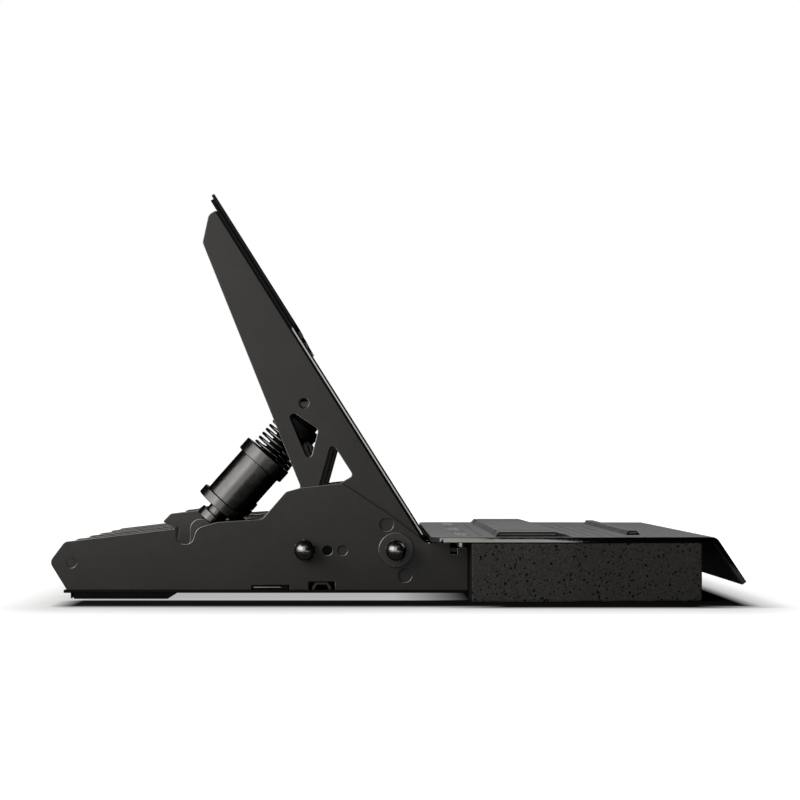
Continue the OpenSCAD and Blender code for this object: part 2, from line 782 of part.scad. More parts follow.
module pad(i) {
  grip_pitch_a = (pad_l - 4 * pad_screw_inset) / (grip_rows - 1);
  grip_pitch_y = pad_w / (grip_columns + 1);
  front = arm_front + face_t;
  color("#232321")
    on_arm(i)
      difference() {
        cross_sheet(front, pad_t, pad_foot, pad_top, pad_w, pad_corner_r);
        for (row = [0:grip_rows - 1], column = [0:grip_columns - 1])
          cross_hole(front, pad_t, pad_foot + 2 * pad_screw_inset + row * grip_pitch_a,
                     (column - (grip_columns - 1) / 2) * grip_pitch_y, grip_hole_d);
        for (p = pad_screw_places) {
          cross_hole(front, pad_t, p[0], p[1], pad_screw_d + 2 * bolt_gap);
          translate([front + pad_t - screw_head_h, p[1], p[0]])
            rotate([0, 90, 0])
              cylinder(h = screw_head_h + over, d1 = pad_screw_d + 2 * bolt_gap,
                       d2 = screw_head_d + 2 * bolt_gap
                            + (screw_head_d - pad_screw_d) * over / screw_head_h);
        }
      }
}

// Pad screws with their nuts behind the face plate, and the cross screws of the trunnion
module arm_screws(i) {
  front = arm_front + face_t + pad_t;
  nut_t = pad_screw_d * 0.8;
  cross_screw_d = arm_hole_d - 4 * bolt_gap;
  color("#4b4a47")
    on_arm(i) {
      for (p = pad_screw_places)
        translate([arm_front - 1.4 * nut_t, p[1], p[0]])
          rotate([0, 90, 0]) {
            cylinder(h = front - arm_front + 1.4 * nut_t, d = pad_screw_d);
            translate([0, 0, 0.4 * nut_t])
              cylinder(h = nut_t, d = pad_screw_d * 1.8, $fn = 6);
            translate([0, 0, front - arm_front + 1.4 * nut_t - screw_head_h])
              cylinder(h = screw_head_h, d1 = pad_screw_d, d2 = screw_head_d);
          }
      for (side = [0, 1])
        mirror([0, side, 0])
          difference() {
            rod_y(arm_hole_b, arm_hole_a, cross_screw_d, arm_gap / 2 - cross_screw_d / 2,
                  cross_screw_d / 2 + arm_t - turned_edge);
            translate([arm_hole_b, arm_gap / 2 + turned_edge, arm_hole_a])
              rotate([-90, 0, 0])
                cylinder(h = arm_t, d = cross_screw_d / 2, $fn = 6);
          }
    }
}

// Block between the arm plates that holds the strut's upper pin
trunnion_back = 9.5;
trunnion_fore = 12.5;
trunnion_below = 6.7;
trunnion_above = 9.3;
pin_seat = 4;

module trunnion(i) {
  low_a = upper_rise - trunnion_below;
  high_a = upper_rise + trunnion_above;
  recess_w = strut_room - 4 * bracket_t + 2 * slot_gap;
  cross_screw_d = arm_hole_d - 4 * bolt_gap;
  color("#2d2c2a")
    on_arm(i)
      difference() {
        translate([upper_front - trunnion_back, -arm_gap / 2, low_a])
          cube([trunnion_back + trunnion_fore, arm_gap, high_a - low_a]);
        translate([upper_front - trunnion_back - over, -recess_w / 2, low_a - over])
          cube([trunnion_back / 3 + over, recess_w, high_a - low_a + 2 * over]);
        translate([upper_front - trunnion_back - over, -upper_eye_w / 2 - slot_gap, low_a - over])
          cube([trunnion_back + upper_eye_r + slot_gap + over, upper_eye_w + 2 * slot_gap,
                high_a - low_a + 2 * over]);
        rod_y(upper_front, upper_rise, upper_pin_d, -arm_gap / 2 + pin_seat, arm_gap - 2 * pin_seat);
        for (side = [0, 1])
          mirror([0, side, 0])
            rod_y(arm_hole_b, arm_hole_a, cross_screw_d, arm_gap / 2 - cross_screw_d / 2,
                  cross_screw_d / 2 + over);
      }
}

module trunnion_pin(i) {
  color("#a9a9a6")
    on_arm(i)
      rod_y(upper_front, upper_rise, upper_pin_d, -arm_gap / 2 + pin_seat, arm_gap - 2 * pin_seat);
}

// Strut bracket: a near cheek with a round top and a far cheek with a pointed wing, on a floor
wing_shares = [
  [-0.66, 0.1, 0.2], [-0.535, 0.228, 0.6], [-0.11, 0.281, 0.4], [0.17, 0.17, 0.8]
];

module strut_bracket(i) {
  floor_z = i == brake_index ? base_z + (cell_side + 2 * base_t / 2) : base_z;
  half = bracket_gap / 2;
  back_x = lower_x - bracket_l * 0.5;
  fore_x = lower_x + bracket_l * 0.36;
  color("#6d6d69")
    at_pedal(i) {
      translate([back_x, -half - bracket_t, floor_z])
        cube([fore_x - back_x, bracket_gap + 2 * bracket_t, bracket_t]);
      difference() {
        plate_xz(rounded([
          [lower_x - cheek_r, lower_z + cheek_r, cheek_r * 0.98],
          [lower_x - cheek_r, lower_z - cheek_r, 0],
          [back_x, floor_z + bracket_t / 2, 0],
          [fore_x, floor_z + bracket_t / 2, 0],
          [lower_x + cheek_r, lower_z - cheek_r, 0],
          [lower_x + cheek_r, lower_z + cheek_r, cheek_r * 0.98]
        ]), -half - bracket_t, bracket_t);
        rod_y(lower_x, lower_z, lower_pin_d, -half - bracket_t - over, bracket_t + 2 * over);
      }
      difference() {
        plate_xz(rounded(concat(
          [[fore_x, floor_z + bracket_t / 2, 0], [back_x, floor_z + bracket_t / 2, 0],
           [lower_x - bracket_l * 0.4, lower_z, 0]],
          [for (p = wing_shares) [lower_x + p[0] * bracket_l, lower_z + p[1] * bracket_l,
                                  p[2] * corner_r]],
          [[lower_x + cheek_r, lower_z - cheek_r, 0]]
        )), half, bracket_t);
        rod_y(lower_x, lower_z, lower_pin_d, half - over, bracket_t + 2 * over);
      }
    }
}

module strut_lower_pins() {
  pin_l = bracket_gap + 2 * bracket_t;
  color("#9a9a97")
    for (i = pedals)
      at_pedal(i) {
        rod_y(lower_x, lower_z, lower_pin_d, -pin_l / 2 - turned_edge, pin_l + 2 * turned_edge);
        for (y = [-pin_l / 2 - turned_edge, pin_l / 2])
          rod_y(lower_x, lower_z, lower_pin_d * 1.4, y, turned_edge);
      }
}

// Barrel: eye, collar, neck and a flanged cup with a guide sleeve in its middle
module barrel(i) {
  e = turned_edge;
  color("#1b1b1b")
    on_strut(i)
      difference() {
        union() {
          rotate_extrude()
            polygon([
              [0, collar_at],
              [collar_d(i) / 2 - e, collar_at],
              [collar_d(i) / 2, collar_at + e],
              [collar_d(i) / 2, collar_top - e],
              [collar_d(i) / 2 - e, collar_top],
              [collar_d(i) / 2 * 0.71, collar_top],
              [collar_d(i) / 2 * 0.71, barrel_foot],
              [low_flange_d(i) / 2 - e, barrel_foot],
              [low_flange_d(i) / 2, barrel_foot + e],
              [low_flange_d(i) / 2, low_flange_top - e],
              [low_flange_d(i) / 2 - e, low_flange_top],
              [tube_d(i) / 2, low_flange_top],
              [tube_d(i) / 2, tube_top],
              [top_flange_d(i) / 2 - e, tube_top],
              [top_flange_d(i) / 2, tube_top + e],
              [top_flange_d(i) / 2, mouth_at - e],
              [top_flange_d(i) / 2 - e, mouth_at],
              [bore_d(i) / 2 + e, mouth_at],
              [bore_d(i) / 2, mouth_at - e],
              [bore_d(i) / 2, spring_foot],
              [sleeve_d(i) / 2, spring_foot],
              [sleeve_d(i) / 2, sleeve_top],
              [0, sleeve_top]
            ]);
          cylinder(h = collar_at + e, r = lower_eye_r * 0.8);
          rotate([90, 0, 0])
            cylinder(h = bracket_gap - 2 * slot_gap, r = lower_eye_r, center = true);
        }
        translate([0, 0, sleeve_foot])
          cylinder(h = sleeve_top - sleeve_foot + over, d = rod_d(i) + 2 * run_gap);
        rotate([90, 0, 0])
          cylinder(h = bracket_gap + 2 * over, d = lower_pin_d + 2 * run_gap, center = true);
      }
}

// Plunger: rod, spring cap, boss and the eye at the upper pin
module plunger(i) {
  e = turned_edge;
  boss_top = cap_at + cap_h + boss_h;
  color("#262625")
    on_strut(i)
      difference() {
        union() {
          rotate_extrude()
            polygon([
              [0, rod_foot],
              [rod_d(i) / 2 - e, rod_foot],
              [rod_d(i) / 2, rod_foot + e],
              [rod_d(i) / 2, cap_at],
              [cap_d(i) / 2 - e, cap_at],
              [cap_d(i) / 2, cap_at + e],
              [cap_d(i) / 2, cap_at + cap_h - e],
              [cap_d(i) / 2 - e, cap_at + cap_h],
              [boss_d(i) / 2, cap_at + cap_h],
              [boss_d(i) / 2, boss_top - e],
              [boss_d(i) / 2 - e, boss_top],
              [upper_eye_w / 2, boss_top],
              [upper_eye_w / 2, strut_l],
              [0, strut_l]
            ]);
          translate([0, 0, strut_l])
            rotate([90, 0, 0])
              cylinder(h = upper_eye_w, r = upper_eye_r, center = true);
        }
        translate([0, 0, strut_l])
          rotate([90, 0, 0])
            cylinder(h = upper_eye_w + 2 * over, d = upper_pin_d + 2 * open_gap, center = true);
      }
}

// Spring wire: an axial leg on the seat, the curls, and an axial leg under the cap
function coil_points(i) =
  let (
    r = coil_r(i),
    low = spring_foot + wire_d(i),
    high = cap_at - wire_d(i),
    steps = curls(i) * curl_rings
  )
  concat(
    [[r, 0, spring_foot]],
    [for (k = [0:steps])
      [r * cos(360 * k / curl_rings), r * sin(360 * k / curl_rings), low + (high - low) * k / steps]],
    [[r, 0, cap_at]]
  );
function coil_along(p, k) =
  unit((k < len(p) - 1 ? unit(p[k + 1] - p[k]) : [0, 0, 0]) + (k > 0 ? unit(p[k] - p[k - 1]) : [0, 0, 0]));
function coil_out(p, k) = unit([p[k][0], p[k][1], 0]);
function coil_ring(p, k, r) =
  let (
    out = coil_out(p, k),
    along = coil_along(p, k),
    up = unit(cross(along, out)),
    side = cross(up, along)
  )
  [for (s = [0:wire_sides - 1])
    p[k] + r * cos(360 * s / wire_sides) * side + r * sin(360 * s / wire_sides) * up];
function ring_faces(n, m) = [
  for (k = [0:n - 2], s = [0:m - 1])
    let (
      a = k * m + s,
      b = k * m + (s + 1) % m
    )
    each [[a, b, b + m], [a, b + m, a + m]]
];
function fan(first, m, flip) = [
  for (s = [1:m - 2])
    flip ? [first, first + s + 1, first + s] : [first, first + s, first + s + 1]
];

module spring(i) {
  p = coil_points(i);
  n = len(p);
  m = wire_sides;
  least = min([for (a = [0:n - 1], b = [a + curl_rings / 2:1:n - 1]) norm(p[a] - p[b])]) - wire_d(i);
  echo(spring = i, least_gap = least);
  color("#c9c9c6")
    on_strut(i)
      polyhedron(
        points = [for (k = [0:n - 1]) each coil_ring(p, k, wire_d(i) / 2)],
        faces = concat(fan(0, m, true), ring_faces(n, m), fan((n - 1) * m, m, false))
      );
}

// Heel plate: bent sheet, tapered in plan, with a wide ridge in three parts and a narrow ridge
heel_x = front_x - heel_overlap;
heel_z = foam_h;
heel_top = heel_z + heel_t;
foam_x = front_x + soft_gap;
foam_front = foam_x + foam_l;
bend_x = foam_front + heel_ahead;
kink_x = heel_x + heel_straight_l;
heel_end_x = bend_x + heel_lip_l * cos(heel_lip_angle);
// Shares of the heel plate's straight length: foot of the wide ridge, and of the narrow one
ridge_share = 0.4509;
rib_share = 1.4135;
ridge_x = heel_x + ridge_share * heel_straight_l;
rib_x = heel_x + rib_share * heel_straight_l;
// Shares of the heel plate's half width: ends of the ridge's main part and of its short parts
ridge_main_share = 0.703;
ridge_gap_share = 0.73;
ridge_end_share = 0.935;
// Shares of a ridge's width that its rear and front flanks take, and of its height that its ends lean
ridge_flanks = [0.056, 0.21];
rib_flanks = [0.15, 0.3];
end_lean = 0.25;

function taper_at(x) = (x - kink_x) * tan(heel_taper);
module heel_plan(inset, x1, x2, r) {
  half = heel_w / 2 - inset;
  polygon(rounded([
    [x1, -half, r], [kink_x, -half, 0], [x2, -half + taper_at(x2), 0],
    [x2, half - taper_at(x2), 0], [kink_x, half, 0], [x1, half, r]
  ]));
}

// Long ridge with two slanting flanks and steep ends, standing on the heel plate
module ridge(x, w, flanks, h, y1, y2) {
  z = heel_top - heel_t / 2;
  lift = h + heel_t / 2;
  lean = h * end_lean;
  intersection() {
    plate_xz([
      [x, z], [x, heel_top], [x + w * flanks[0], z + lift], [x + w * (1 - flanks[1]), z + lift],
      [x + w, heel_top], [x + w, z]
    ], y1, y2 - y1);
    translate([x, 0, 0])
      rotate([90, 0, 90])
        linear_extrude(w)
          polygon([
            [y1, z], [y1, heel_top], [y1 + lean, z + lift],
            [y2 - lean, z + lift], [y2, heel_top], [y2, z]
          ]);
  }
}

// Screws of the heel plate: in the bridge of each frame, clear of the slot
heel_screw_x = front_x - heel_screw_d * 0.8;
heel_screw_y = frame_inner * 0.57;
heel_head_d = heel_screw_d * 1.8;
heel_head_h = heel_screw_d * 0.4;

module heel_plate() {
  half = heel_w / 2;
  dx = cos(heel_lip_angle);
  dz = sin(heel_lip_angle);
  inner_bend_x = bend_x - heel_t * tan(heel_lip_angle / 2);
  lip = heel_lip_l;
  color("#4d4d4b")
    difference() {
      union() {
        intersection() {
          plate_xz(rounded([
            [heel_x, heel_z, 0],
            [heel_x, heel_top, 0],
            [bend_x, heel_top, heel_bend_r],
            [bend_x + lip * dx, heel_top - lip * dz, 0],
            [bend_x + lip * dx - heel_t * dz, heel_top - lip * dz - heel_t * dx, 0],
            [inner_bend_x, heel_z, heel_bend_r - heel_t]
          ]), -half, heel_w);
          linear_extrude(heel_top + over)
            heel_plan(0, heel_x, heel_end_x + over, heel_corner_r);
        }
        ridge(ridge_x, ridge_w, ridge_flanks, ridge_h, -ridge_main_share * half, ridge_main_share * half);
        for (side = [-1, 1])
          ridge(ridge_x, ridge_w, ridge_flanks, ridge_h,
                min(side * ridge_gap_share, side * ridge_end_share) * half,
                max(side * ridge_gap_share, side * ridge_end_share) * half);
        ridge(rib_x, rib_w, rib_flanks, rib_h, -rib_l / 2, rib_l / 2);
      }
      for (i = pedals, side = [-1, 1])
        translate([heel_screw_x, pedal_y(i) + side * heel_screw_y, heel_z - over]) {
          cylinder(h = heel_t + 2 * over, d = heel_screw_d + 2 * bolt_gap);
          translate([0, 0, over + heel_t - heel_head_h])
            cylinder(h = heel_head_h + over, d1 = heel_screw_d + 2 * bolt_gap,
                     d2 = heel_head_d + 2 * bolt_gap
                          + (heel_head_d - heel_screw_d) * over / heel_head_h);
        }
    }
}

bridge_t = side_t * 1.2;
module heel_plate_screws() {
  foot = step_z - bridge_t - heel_t;
  color("#3d3d3b")
    for (i = pedals, side = [-1, 1])
      translate([heel_screw_x, pedal_y(i) + side * heel_screw_y, foot]) {
        cylinder(h = heel_top - foot, d = heel_screw_d);
        translate([0, 0, heel_top - foot - heel_head_h])
          cylinder(h = heel_head_h, d1 = heel_screw_d, d2 = heel_head_d);
      }
}

module heel_plate_spacers() {
  color("#c4c4c0")
    for (i = pedals, side = [-1, 1])
      translate([heel_screw_x, pedal_y(i) + side * heel_screw_y, step_z])
        difference() {
          cylinder(h = heel_z - step_z, d = heel_screw_d * 1.5);
          translate([0, 0, -over])
            cylinder(h = heel_z - step_z + 2 * over, d = heel_screw_d + 2 * bolt_gap);
        }
}

// Bridge plate between the two side plates, which the heel plate's screws go into
module frame_bridges() {
  bridge_l = heel_overlap - 2 * slot_gap;
  color("#2f2e2b")
    for (i = pedals)
      difference() {
        translate([front_x - bridge_l, pedal_y(i) - frame_inner, step_z - bridge_t])
          cube([bridge_l, 2 * frame_inner, bridge_t]);
        for (side = [-1, 1])
          translate([heel_screw_x, pedal_y(i) + side * heel_screw_y, step_z - bridge_t - over])
            cylinder(h = bridge_t + 2 * over, d = heel_screw_d + 2 * run_gap);
      }
}

// Foam block under the heel plate, with the same taper in plan
module foam_block() {
  color("#2b2b2b")
    linear_extrude(foam_h)
      heel_plan(foam_inset, foam_x, foam_front, 0);
}

// Controller housing between the brake and throttle frames
box_x = flat_rail_x - rail_slot_l / 2 - box_l - slot_gap;
box_y = pedal_pitch / 2 - box_w / 2;
lid_t = box_wall;
socket_z = base_z + box_h / 2;
socket_wall = box_wall / 4;

module controller_housing() {
  wall_h = box_h - lid_t;
  outer_w = socket_w + 2 * socket_wall;
  outer_h = socket_h + 2 * socket_wall;
  color("#202020")
    difference() {
      translate([box_x, box_y, base_z])
        cube([box_l, box_w, wall_h]);
      translate([box_x + box_wall, box_y + box_wall, base_z + box_wall])
        cube([box_l - 2 * box_wall, box_w - 2 * box_wall, wall_h]);
      translate([box_x - over, box_y + box_w / 2 - outer_w / 2, socket_z - outer_h / 2])
        cube([box_wall + 2 * over, outer_w, outer_h]);
    }
}

module controller_lid() {
  color("#262626")
    translate([box_x, box_y, base_z + box_h - lid_t])
      cube([box_l, box_w, lid_t]);
}

// Board with four posts that stand on the housing's floor
module controller_board() {
  post = 2 * box_wall;
  board_z = socket_z - socket_h / 2 - socket_wall - board_t;
  inset = box_wall + slot_gap;
  color("#1f5a35")
    union() {
      translate([box_x + inset, box_y + inset, board_z])
        cube([box_l - 2 * inset, box_w - 2 * inset, board_t]);
      for (x = [box_x + inset, box_x + box_l - inset - post],
           y = [box_y + inset, box_y + box_w - inset - post])
        translate([x, y, base_z + box_wall])
          cube([post, post, board_z - base_z - box_wall + board_t / 2]);
    }
}

// Socket in the rear wall, open towards the rear
module usb_socket() {
  outer_w = socket_w + 2 * socket_wall;
  outer_h = socket_h + 2 * socket_wall;
  color("#b5b5b2")
    translate([box_x, box_y + box_w / 2, socket_z])
      difference() {
        translate([0, -outer_w / 2, -outer_h / 2])
          cube([socket_depth + socket_wall, outer_w, outer_h]);
        translate([-over, -socket_w / 2, -socket_h / 2])
          cube([socket_depth + over, socket_w, socket_h]);
      }
}

// Load cell: a square bar on a foot, with the twin bores of a bending cell
module brake_load_cell() {
  cell_x = lower_x + bracket_l * 0.1 - cell_l;
  foot_gap = base_t / 2;
  color("#a3a39f")
    at_pedal(brake_index)
      difference() {
        union() {
          translate([cell_x, -cell_side / 2, base_z + 2 * foot_gap])
            cube([cell_l, cell_side, cell_side]);
          translate([cell_x, -cell_side / 2, base_z])
            cube([cell_l / 4, cell_side, 3 * foot_gap]);
        }
        for (x = [-1, 1])
          rod_y(cell_x + cell_l / 2 + x * cell_side / 3, base_z + 2 * foot_gap + cell_side / 2,
                cell_side * 0.6, -cell_side / 2 - over, cell_side + 2 * over);
      }
}

// Position sensor under each pivot tube
module pedal_sensors() {
  color("#1f1f24")
    for (i = pedals)
      at_pedal(i)
        translate([pivot_x - sensor_l / 2, -sensor_w / 2, base_z])
          cube([sensor_l, sensor_w, sensor_h]);
}

base_plate();
flat_cross_rail();
arch_cross_rail();
rear_feet();
foam_block();
heel_plate();
heel_plate_screws();
heel_plate_spacers();
frame_bridges();
frame_studs();
rear_tie_pins();
pivot_bolts();
pivot_washers();
stop_bolts();
stop_rubbers();
dome_nuts();
strut_lower_pins();
pedal_sensors();
brake_load_cell();
controller_housing();
controller_lid();
controller_board();
usb_socket();
frame(clutch_index);  // clutch_frame
strut_bracket(clutch_index);  // clutch_strut_bracket
arm_plates(clutch_index);  // clutch_arm_plates
pivot_tube(clutch_index);  // clutch_pivot_tube
face_plate(clutch_index);  // clutch_face_plate
pad(clutch_index);  // clutch_pad
arm_screws(clutch_index);  // clutch_arm_screws
trunnion(clutch_index);  // clutch_trunnion
trunnion_pin(clutch_index);  // clutch_trunnion_pin
barrel(clutch_index);  // clutch_barrel
plunger(clutch_index);  // clutch_plunger
spring(clutch_index);  // clutch_spring
frame(brake_index);  // brake_frame
strut_bracket(brake_index);  // brake_strut_bracket
arm_plates(brake_index);  // brake_arm_plates
pivot_tube(brake_index);  // brake_pivot_tube
face_plate(brake_index);  // brake_face_plate
pad(brake_index);  // brake_pad
arm_screws(brake_index);  // brake_arm_screws
trunnion(brake_index);  // brake_trunnion
trunnion_pin(brake_index);  // brake_trunnion_pin
barrel(brake_index);  // brake_barrel
plunger(brake_index);  // brake_plunger
spring(brake_index);  // brake_spring
frame(throttle_index);  // throttle_frame
strut_bracket(throttle_index);  // throttle_strut_bracket
arm_plates(throttle_index);  // throttle_arm_plates
pivot_tube(throttle_index);  // throttle_pivot_tube
face_plate(throttle_index);  // throttle_face_plate
pad(throttle_index);  // throttle_pad
arm_screws(throttle_index);  // throttle_arm_screws
trunnion(throttle_index);  // throttle_trunnion
trunnion_pin(throttle_index);  // throttle_trunnion_pin
barrel(throttle_index);  // throttle_barrel
plunger(throttle_index);  // throttle_plunger
spring(throttle_index);  // throttle_spring
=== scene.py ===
import json
import math

import bpy
from mathutils import Matrix, Vector


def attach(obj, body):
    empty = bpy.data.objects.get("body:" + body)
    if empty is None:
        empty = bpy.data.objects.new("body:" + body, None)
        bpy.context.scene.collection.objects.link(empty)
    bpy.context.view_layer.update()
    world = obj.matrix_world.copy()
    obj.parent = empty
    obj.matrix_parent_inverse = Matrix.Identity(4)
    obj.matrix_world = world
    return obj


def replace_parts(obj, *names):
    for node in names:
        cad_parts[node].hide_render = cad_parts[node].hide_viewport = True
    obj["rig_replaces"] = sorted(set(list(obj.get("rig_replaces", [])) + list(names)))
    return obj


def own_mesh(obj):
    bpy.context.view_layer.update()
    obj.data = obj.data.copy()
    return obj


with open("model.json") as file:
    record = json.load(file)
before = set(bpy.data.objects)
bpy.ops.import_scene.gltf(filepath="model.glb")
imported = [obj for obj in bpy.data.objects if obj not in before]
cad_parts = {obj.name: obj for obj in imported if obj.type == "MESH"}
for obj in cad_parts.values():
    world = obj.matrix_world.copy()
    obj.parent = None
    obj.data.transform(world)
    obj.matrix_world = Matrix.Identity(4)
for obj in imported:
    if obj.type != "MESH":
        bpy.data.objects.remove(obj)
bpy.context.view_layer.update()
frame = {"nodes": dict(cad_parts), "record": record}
cadNodes = frame["nodes"]
bodyOf = {node: body for body, names in frame["record"]["behaviour"]["bodies"].items() for node in names}
print("frame loaded:", len(cadNodes), "nodes")

mm = 0.001
near = 0.05 * mm  # how far a corner or a face may lie from the plane that it counts as on
pedals = {"clutch": -98.5 * mm, "brake": 0.0, "throttle": 98.5 * mm}  # middle of each pedal in Y

# Arm and strut places, as the frame has them

lean = math.radians(32.23)
strutTilt = math.radians(90 - 48.42474)
pivot = (1.2 * mm, 32.7 * mm)
lowerPin = (-129.9 * mm, 45.9 * mm)


def onArm(pedal):
    return Matrix.Translation((pivot[0], pedals[pedal], pivot[1])) @ Matrix.Rotation(-lean, 4, "Y")


def onStrut(pedal):
    return Matrix.Translation((lowerPin[0], pedals[pedal], lowerPin[1])) @ Matrix.Rotation(strutTilt, 4, "Y")


# Camera, lamps and floor

camera = {
    "place": (-0.0128, -1.2219, 0.0873),
    "lens": 74.25,
    "shift": (0.03125, 0.085),
}
light = {
    "background": 0.13,  # what the white surroundings give to matt surfaces
    "left": (7.6, (-0.64, -0.465, 0.395), (0.82, 0.5)),
    "back": (31, (0.2, 1.15, 1.25), (1.2, 0.5)),
    "aim": (-0.02, 0, 0.09),
    "floorColour": "#5c5c5a",
    # the floor's colour in the painted shadow ring, its glow to the camera, and the lower glow in the wider painted
    # half shadow
    "paintedShadowColour": "#171717",
    "floorGlow": 1.1,
    "halfShadowGlow": 0.45,
    "mirroredNear": (0.3, 0.05),  # the floor's glow in reflections grows from here, as reach and strength
    "mirroredFar": 1.2,
}
paintedFloorShadow = {  # painted shadow on the floor: middle, half size and soft edge of the shaded ring's outlines and of the wider half shade
    "outer": ((0.0085, 0, 0), (0.2125, 0.176, 1), (0.016, 0.016, 1)),
    "foam": ((0.13, 0, 0), (0.06, 0.186, 1), (0.06, 0.014, 1)),
    "inner": ((-0.11, 0, 0), (0.11, 0.128, 1), (0.05, 0.009, 1)),
    "half": ((0.0, 0, 0), (0.2, 0.18, 1), (0.08, 0.09, 1)),
}
cards = {  # studio cards that only reflections see: middle, size, turn in degrees and brightness
    "whiteFront": ((-1.08, -2.2, 1.1), (2.6, 2.2), (90, 0, 0), 3.4),
    "blackFront": ((1.74, -2.2, 1.1), (3.0, 2.2), (90, 0, 0), 0.01),
    "whiteNear": ((-1.01, -1.41, 0.003), (2.6, 1.98), (0, 0, 7), 4.0),
    "blackUnder": ((-0.055, -1.3, 0.004), (0.17, 2.2), (0, 0, 0), 0.01),
    "blackNear": ((1.604, -1.65, 0.002), (2.6, 2.7), (0, 0, 7), 0.01),
    "blackTop": ((0.1, -0.35, 1.9), (3.0, 2.0), (0, 0, 0), 0.01),
    "blackBack": ((0.95, 1.7, 1.2), (1.9, 1.6), (90, 0, 0), 0.01),
    "whiteBack": ((1.0, 0.8, 0.7), (0.7, 1.1), (90, 0, -50), 5.0),
    "blackRight": ((1.4, -0.6, 0.95), (3.2, 1.9), (90, 0, 90), 0.01),
    "blackLeft": ((-1.7, 0.65, 0.95), (1.7, 1.9), (90, 0, 90), 0.01),
}


def srgb(code):
    parts = [int(code[i:i + 2], 16) / 255 for i in (1, 3, 5)]
    return tuple(c / 12.92 if c <= 0.04045 else ((c + 0.055) / 1.055) ** 2.4 for c in parts) + (1.0,)


def addNode(tree, kind, settings=None, values=None):
    node = tree.nodes.new("ShaderNode" + kind)
    for name, value in (settings or {}).items():
        setattr(node, name, value)
    for name, value in (values or {}).items():
        node.inputs[name].default_value = value
    return node


def wire(tree, source, output, target, socket):
    tree.links.new(source.outputs[output], target.inputs[socket])


def addCamera():
    bpy.ops.object.camera_add(location=camera["place"], rotation=(math.radians(90), 0, 0))
    lookOut = bpy.context.object
    lookOut.data.sensor_width = 36
    lookOut.data.lens = camera["lens"]
    lookOut.data.shift_x, lookOut.data.shift_y = camera["shift"]
    lookOut.data.clip_end = 50
    bpy.context.scene.camera = lookOut
    bpy.context.scene.view_settings.view_transform = "Standard"


def addLamp(name):
    power, place, size = light[name]
    bpy.ops.object.light_add(type="AREA", location=place)
    lamp = bpy.context.object
    lamp.name = name + "Lamp"
    lamp.data.shape = "RECTANGLE"
    lamp.data.size, lamp.data.size_y = size
    lamp.data.energy = power
    lamp.rotation_euler = (Vector(light["aim"]) - Vector(place)).to_track_quat("-Z", "Y").to_euler()


def addSurroundings():
    world = bpy.data.worlds.new("whiteStudio")
    world.use_nodes = True
    bpy.context.scene.world = world
    tree = world.node_tree
    tree.nodes.clear()
    rays = addNode(tree, "LightPath")
    seen = addNode(tree, "Math", {"operation": "MAXIMUM"})
    through = addNode(tree, "Math", {"operation": "MAXIMUM"})
    strength = addNode(tree, "MapRange", values={"To Min": light["background"], "To Max": 1.0})
    back = addNode(tree, "Background", values={"Color": (1, 1, 1, 1)})
    out = addNode(tree, "OutputWorld")
    wire(tree, rays, "Is Camera Ray", seen, 0)
    wire(tree, rays, "Is Glossy Ray", seen, 1)
    wire(tree, seen, 0, through, 0)
    wire(tree, rays, "Is Transmission Ray", through, 1)
    wire(tree, through, 0, strength, "Value")
    wire(tree, strength, 0, back, "Strength")
    wire(tree, back, 0, out, "Surface")


def insideBox(tree, place, box):
    # 1 inside the box and 0 outside, over a soft edge
    middle, half, soft = box
    away = addNode(tree, "VectorMath", {"operation": "SUBTRACT"})
    away.inputs[1].default_value = middle
    side = addNode(tree, "VectorMath", {"operation": "ABSOLUTE"})
    past = addNode(tree, "VectorMath", {"operation": "SUBTRACT"})
    past.inputs[1].default_value = half
    outside = addNode(tree, "VectorMath", {"operation": "MAXIMUM"})
    shares = addNode(tree, "VectorMath", {"operation": "DIVIDE"})
    shares.inputs[1].default_value = soft
    reach = addNode(tree, "VectorMath", {"operation": "LENGTH"})
    mask = addNode(tree, "MapRange", values={"To Min": 1.0, "To Max": 0.0})
    wire(tree, place, "Object", away, 0)
    wire(tree, away, 0, side, 0)
    wire(tree, side, 0, past, 0)
    wire(tree, past, 0, outside, 0)
    wire(tree, outside, 0, shares, 0)
    wire(tree, shares, 0, reach, 0)
    wire(tree, reach, "Value", mask, "Value")
    return mask


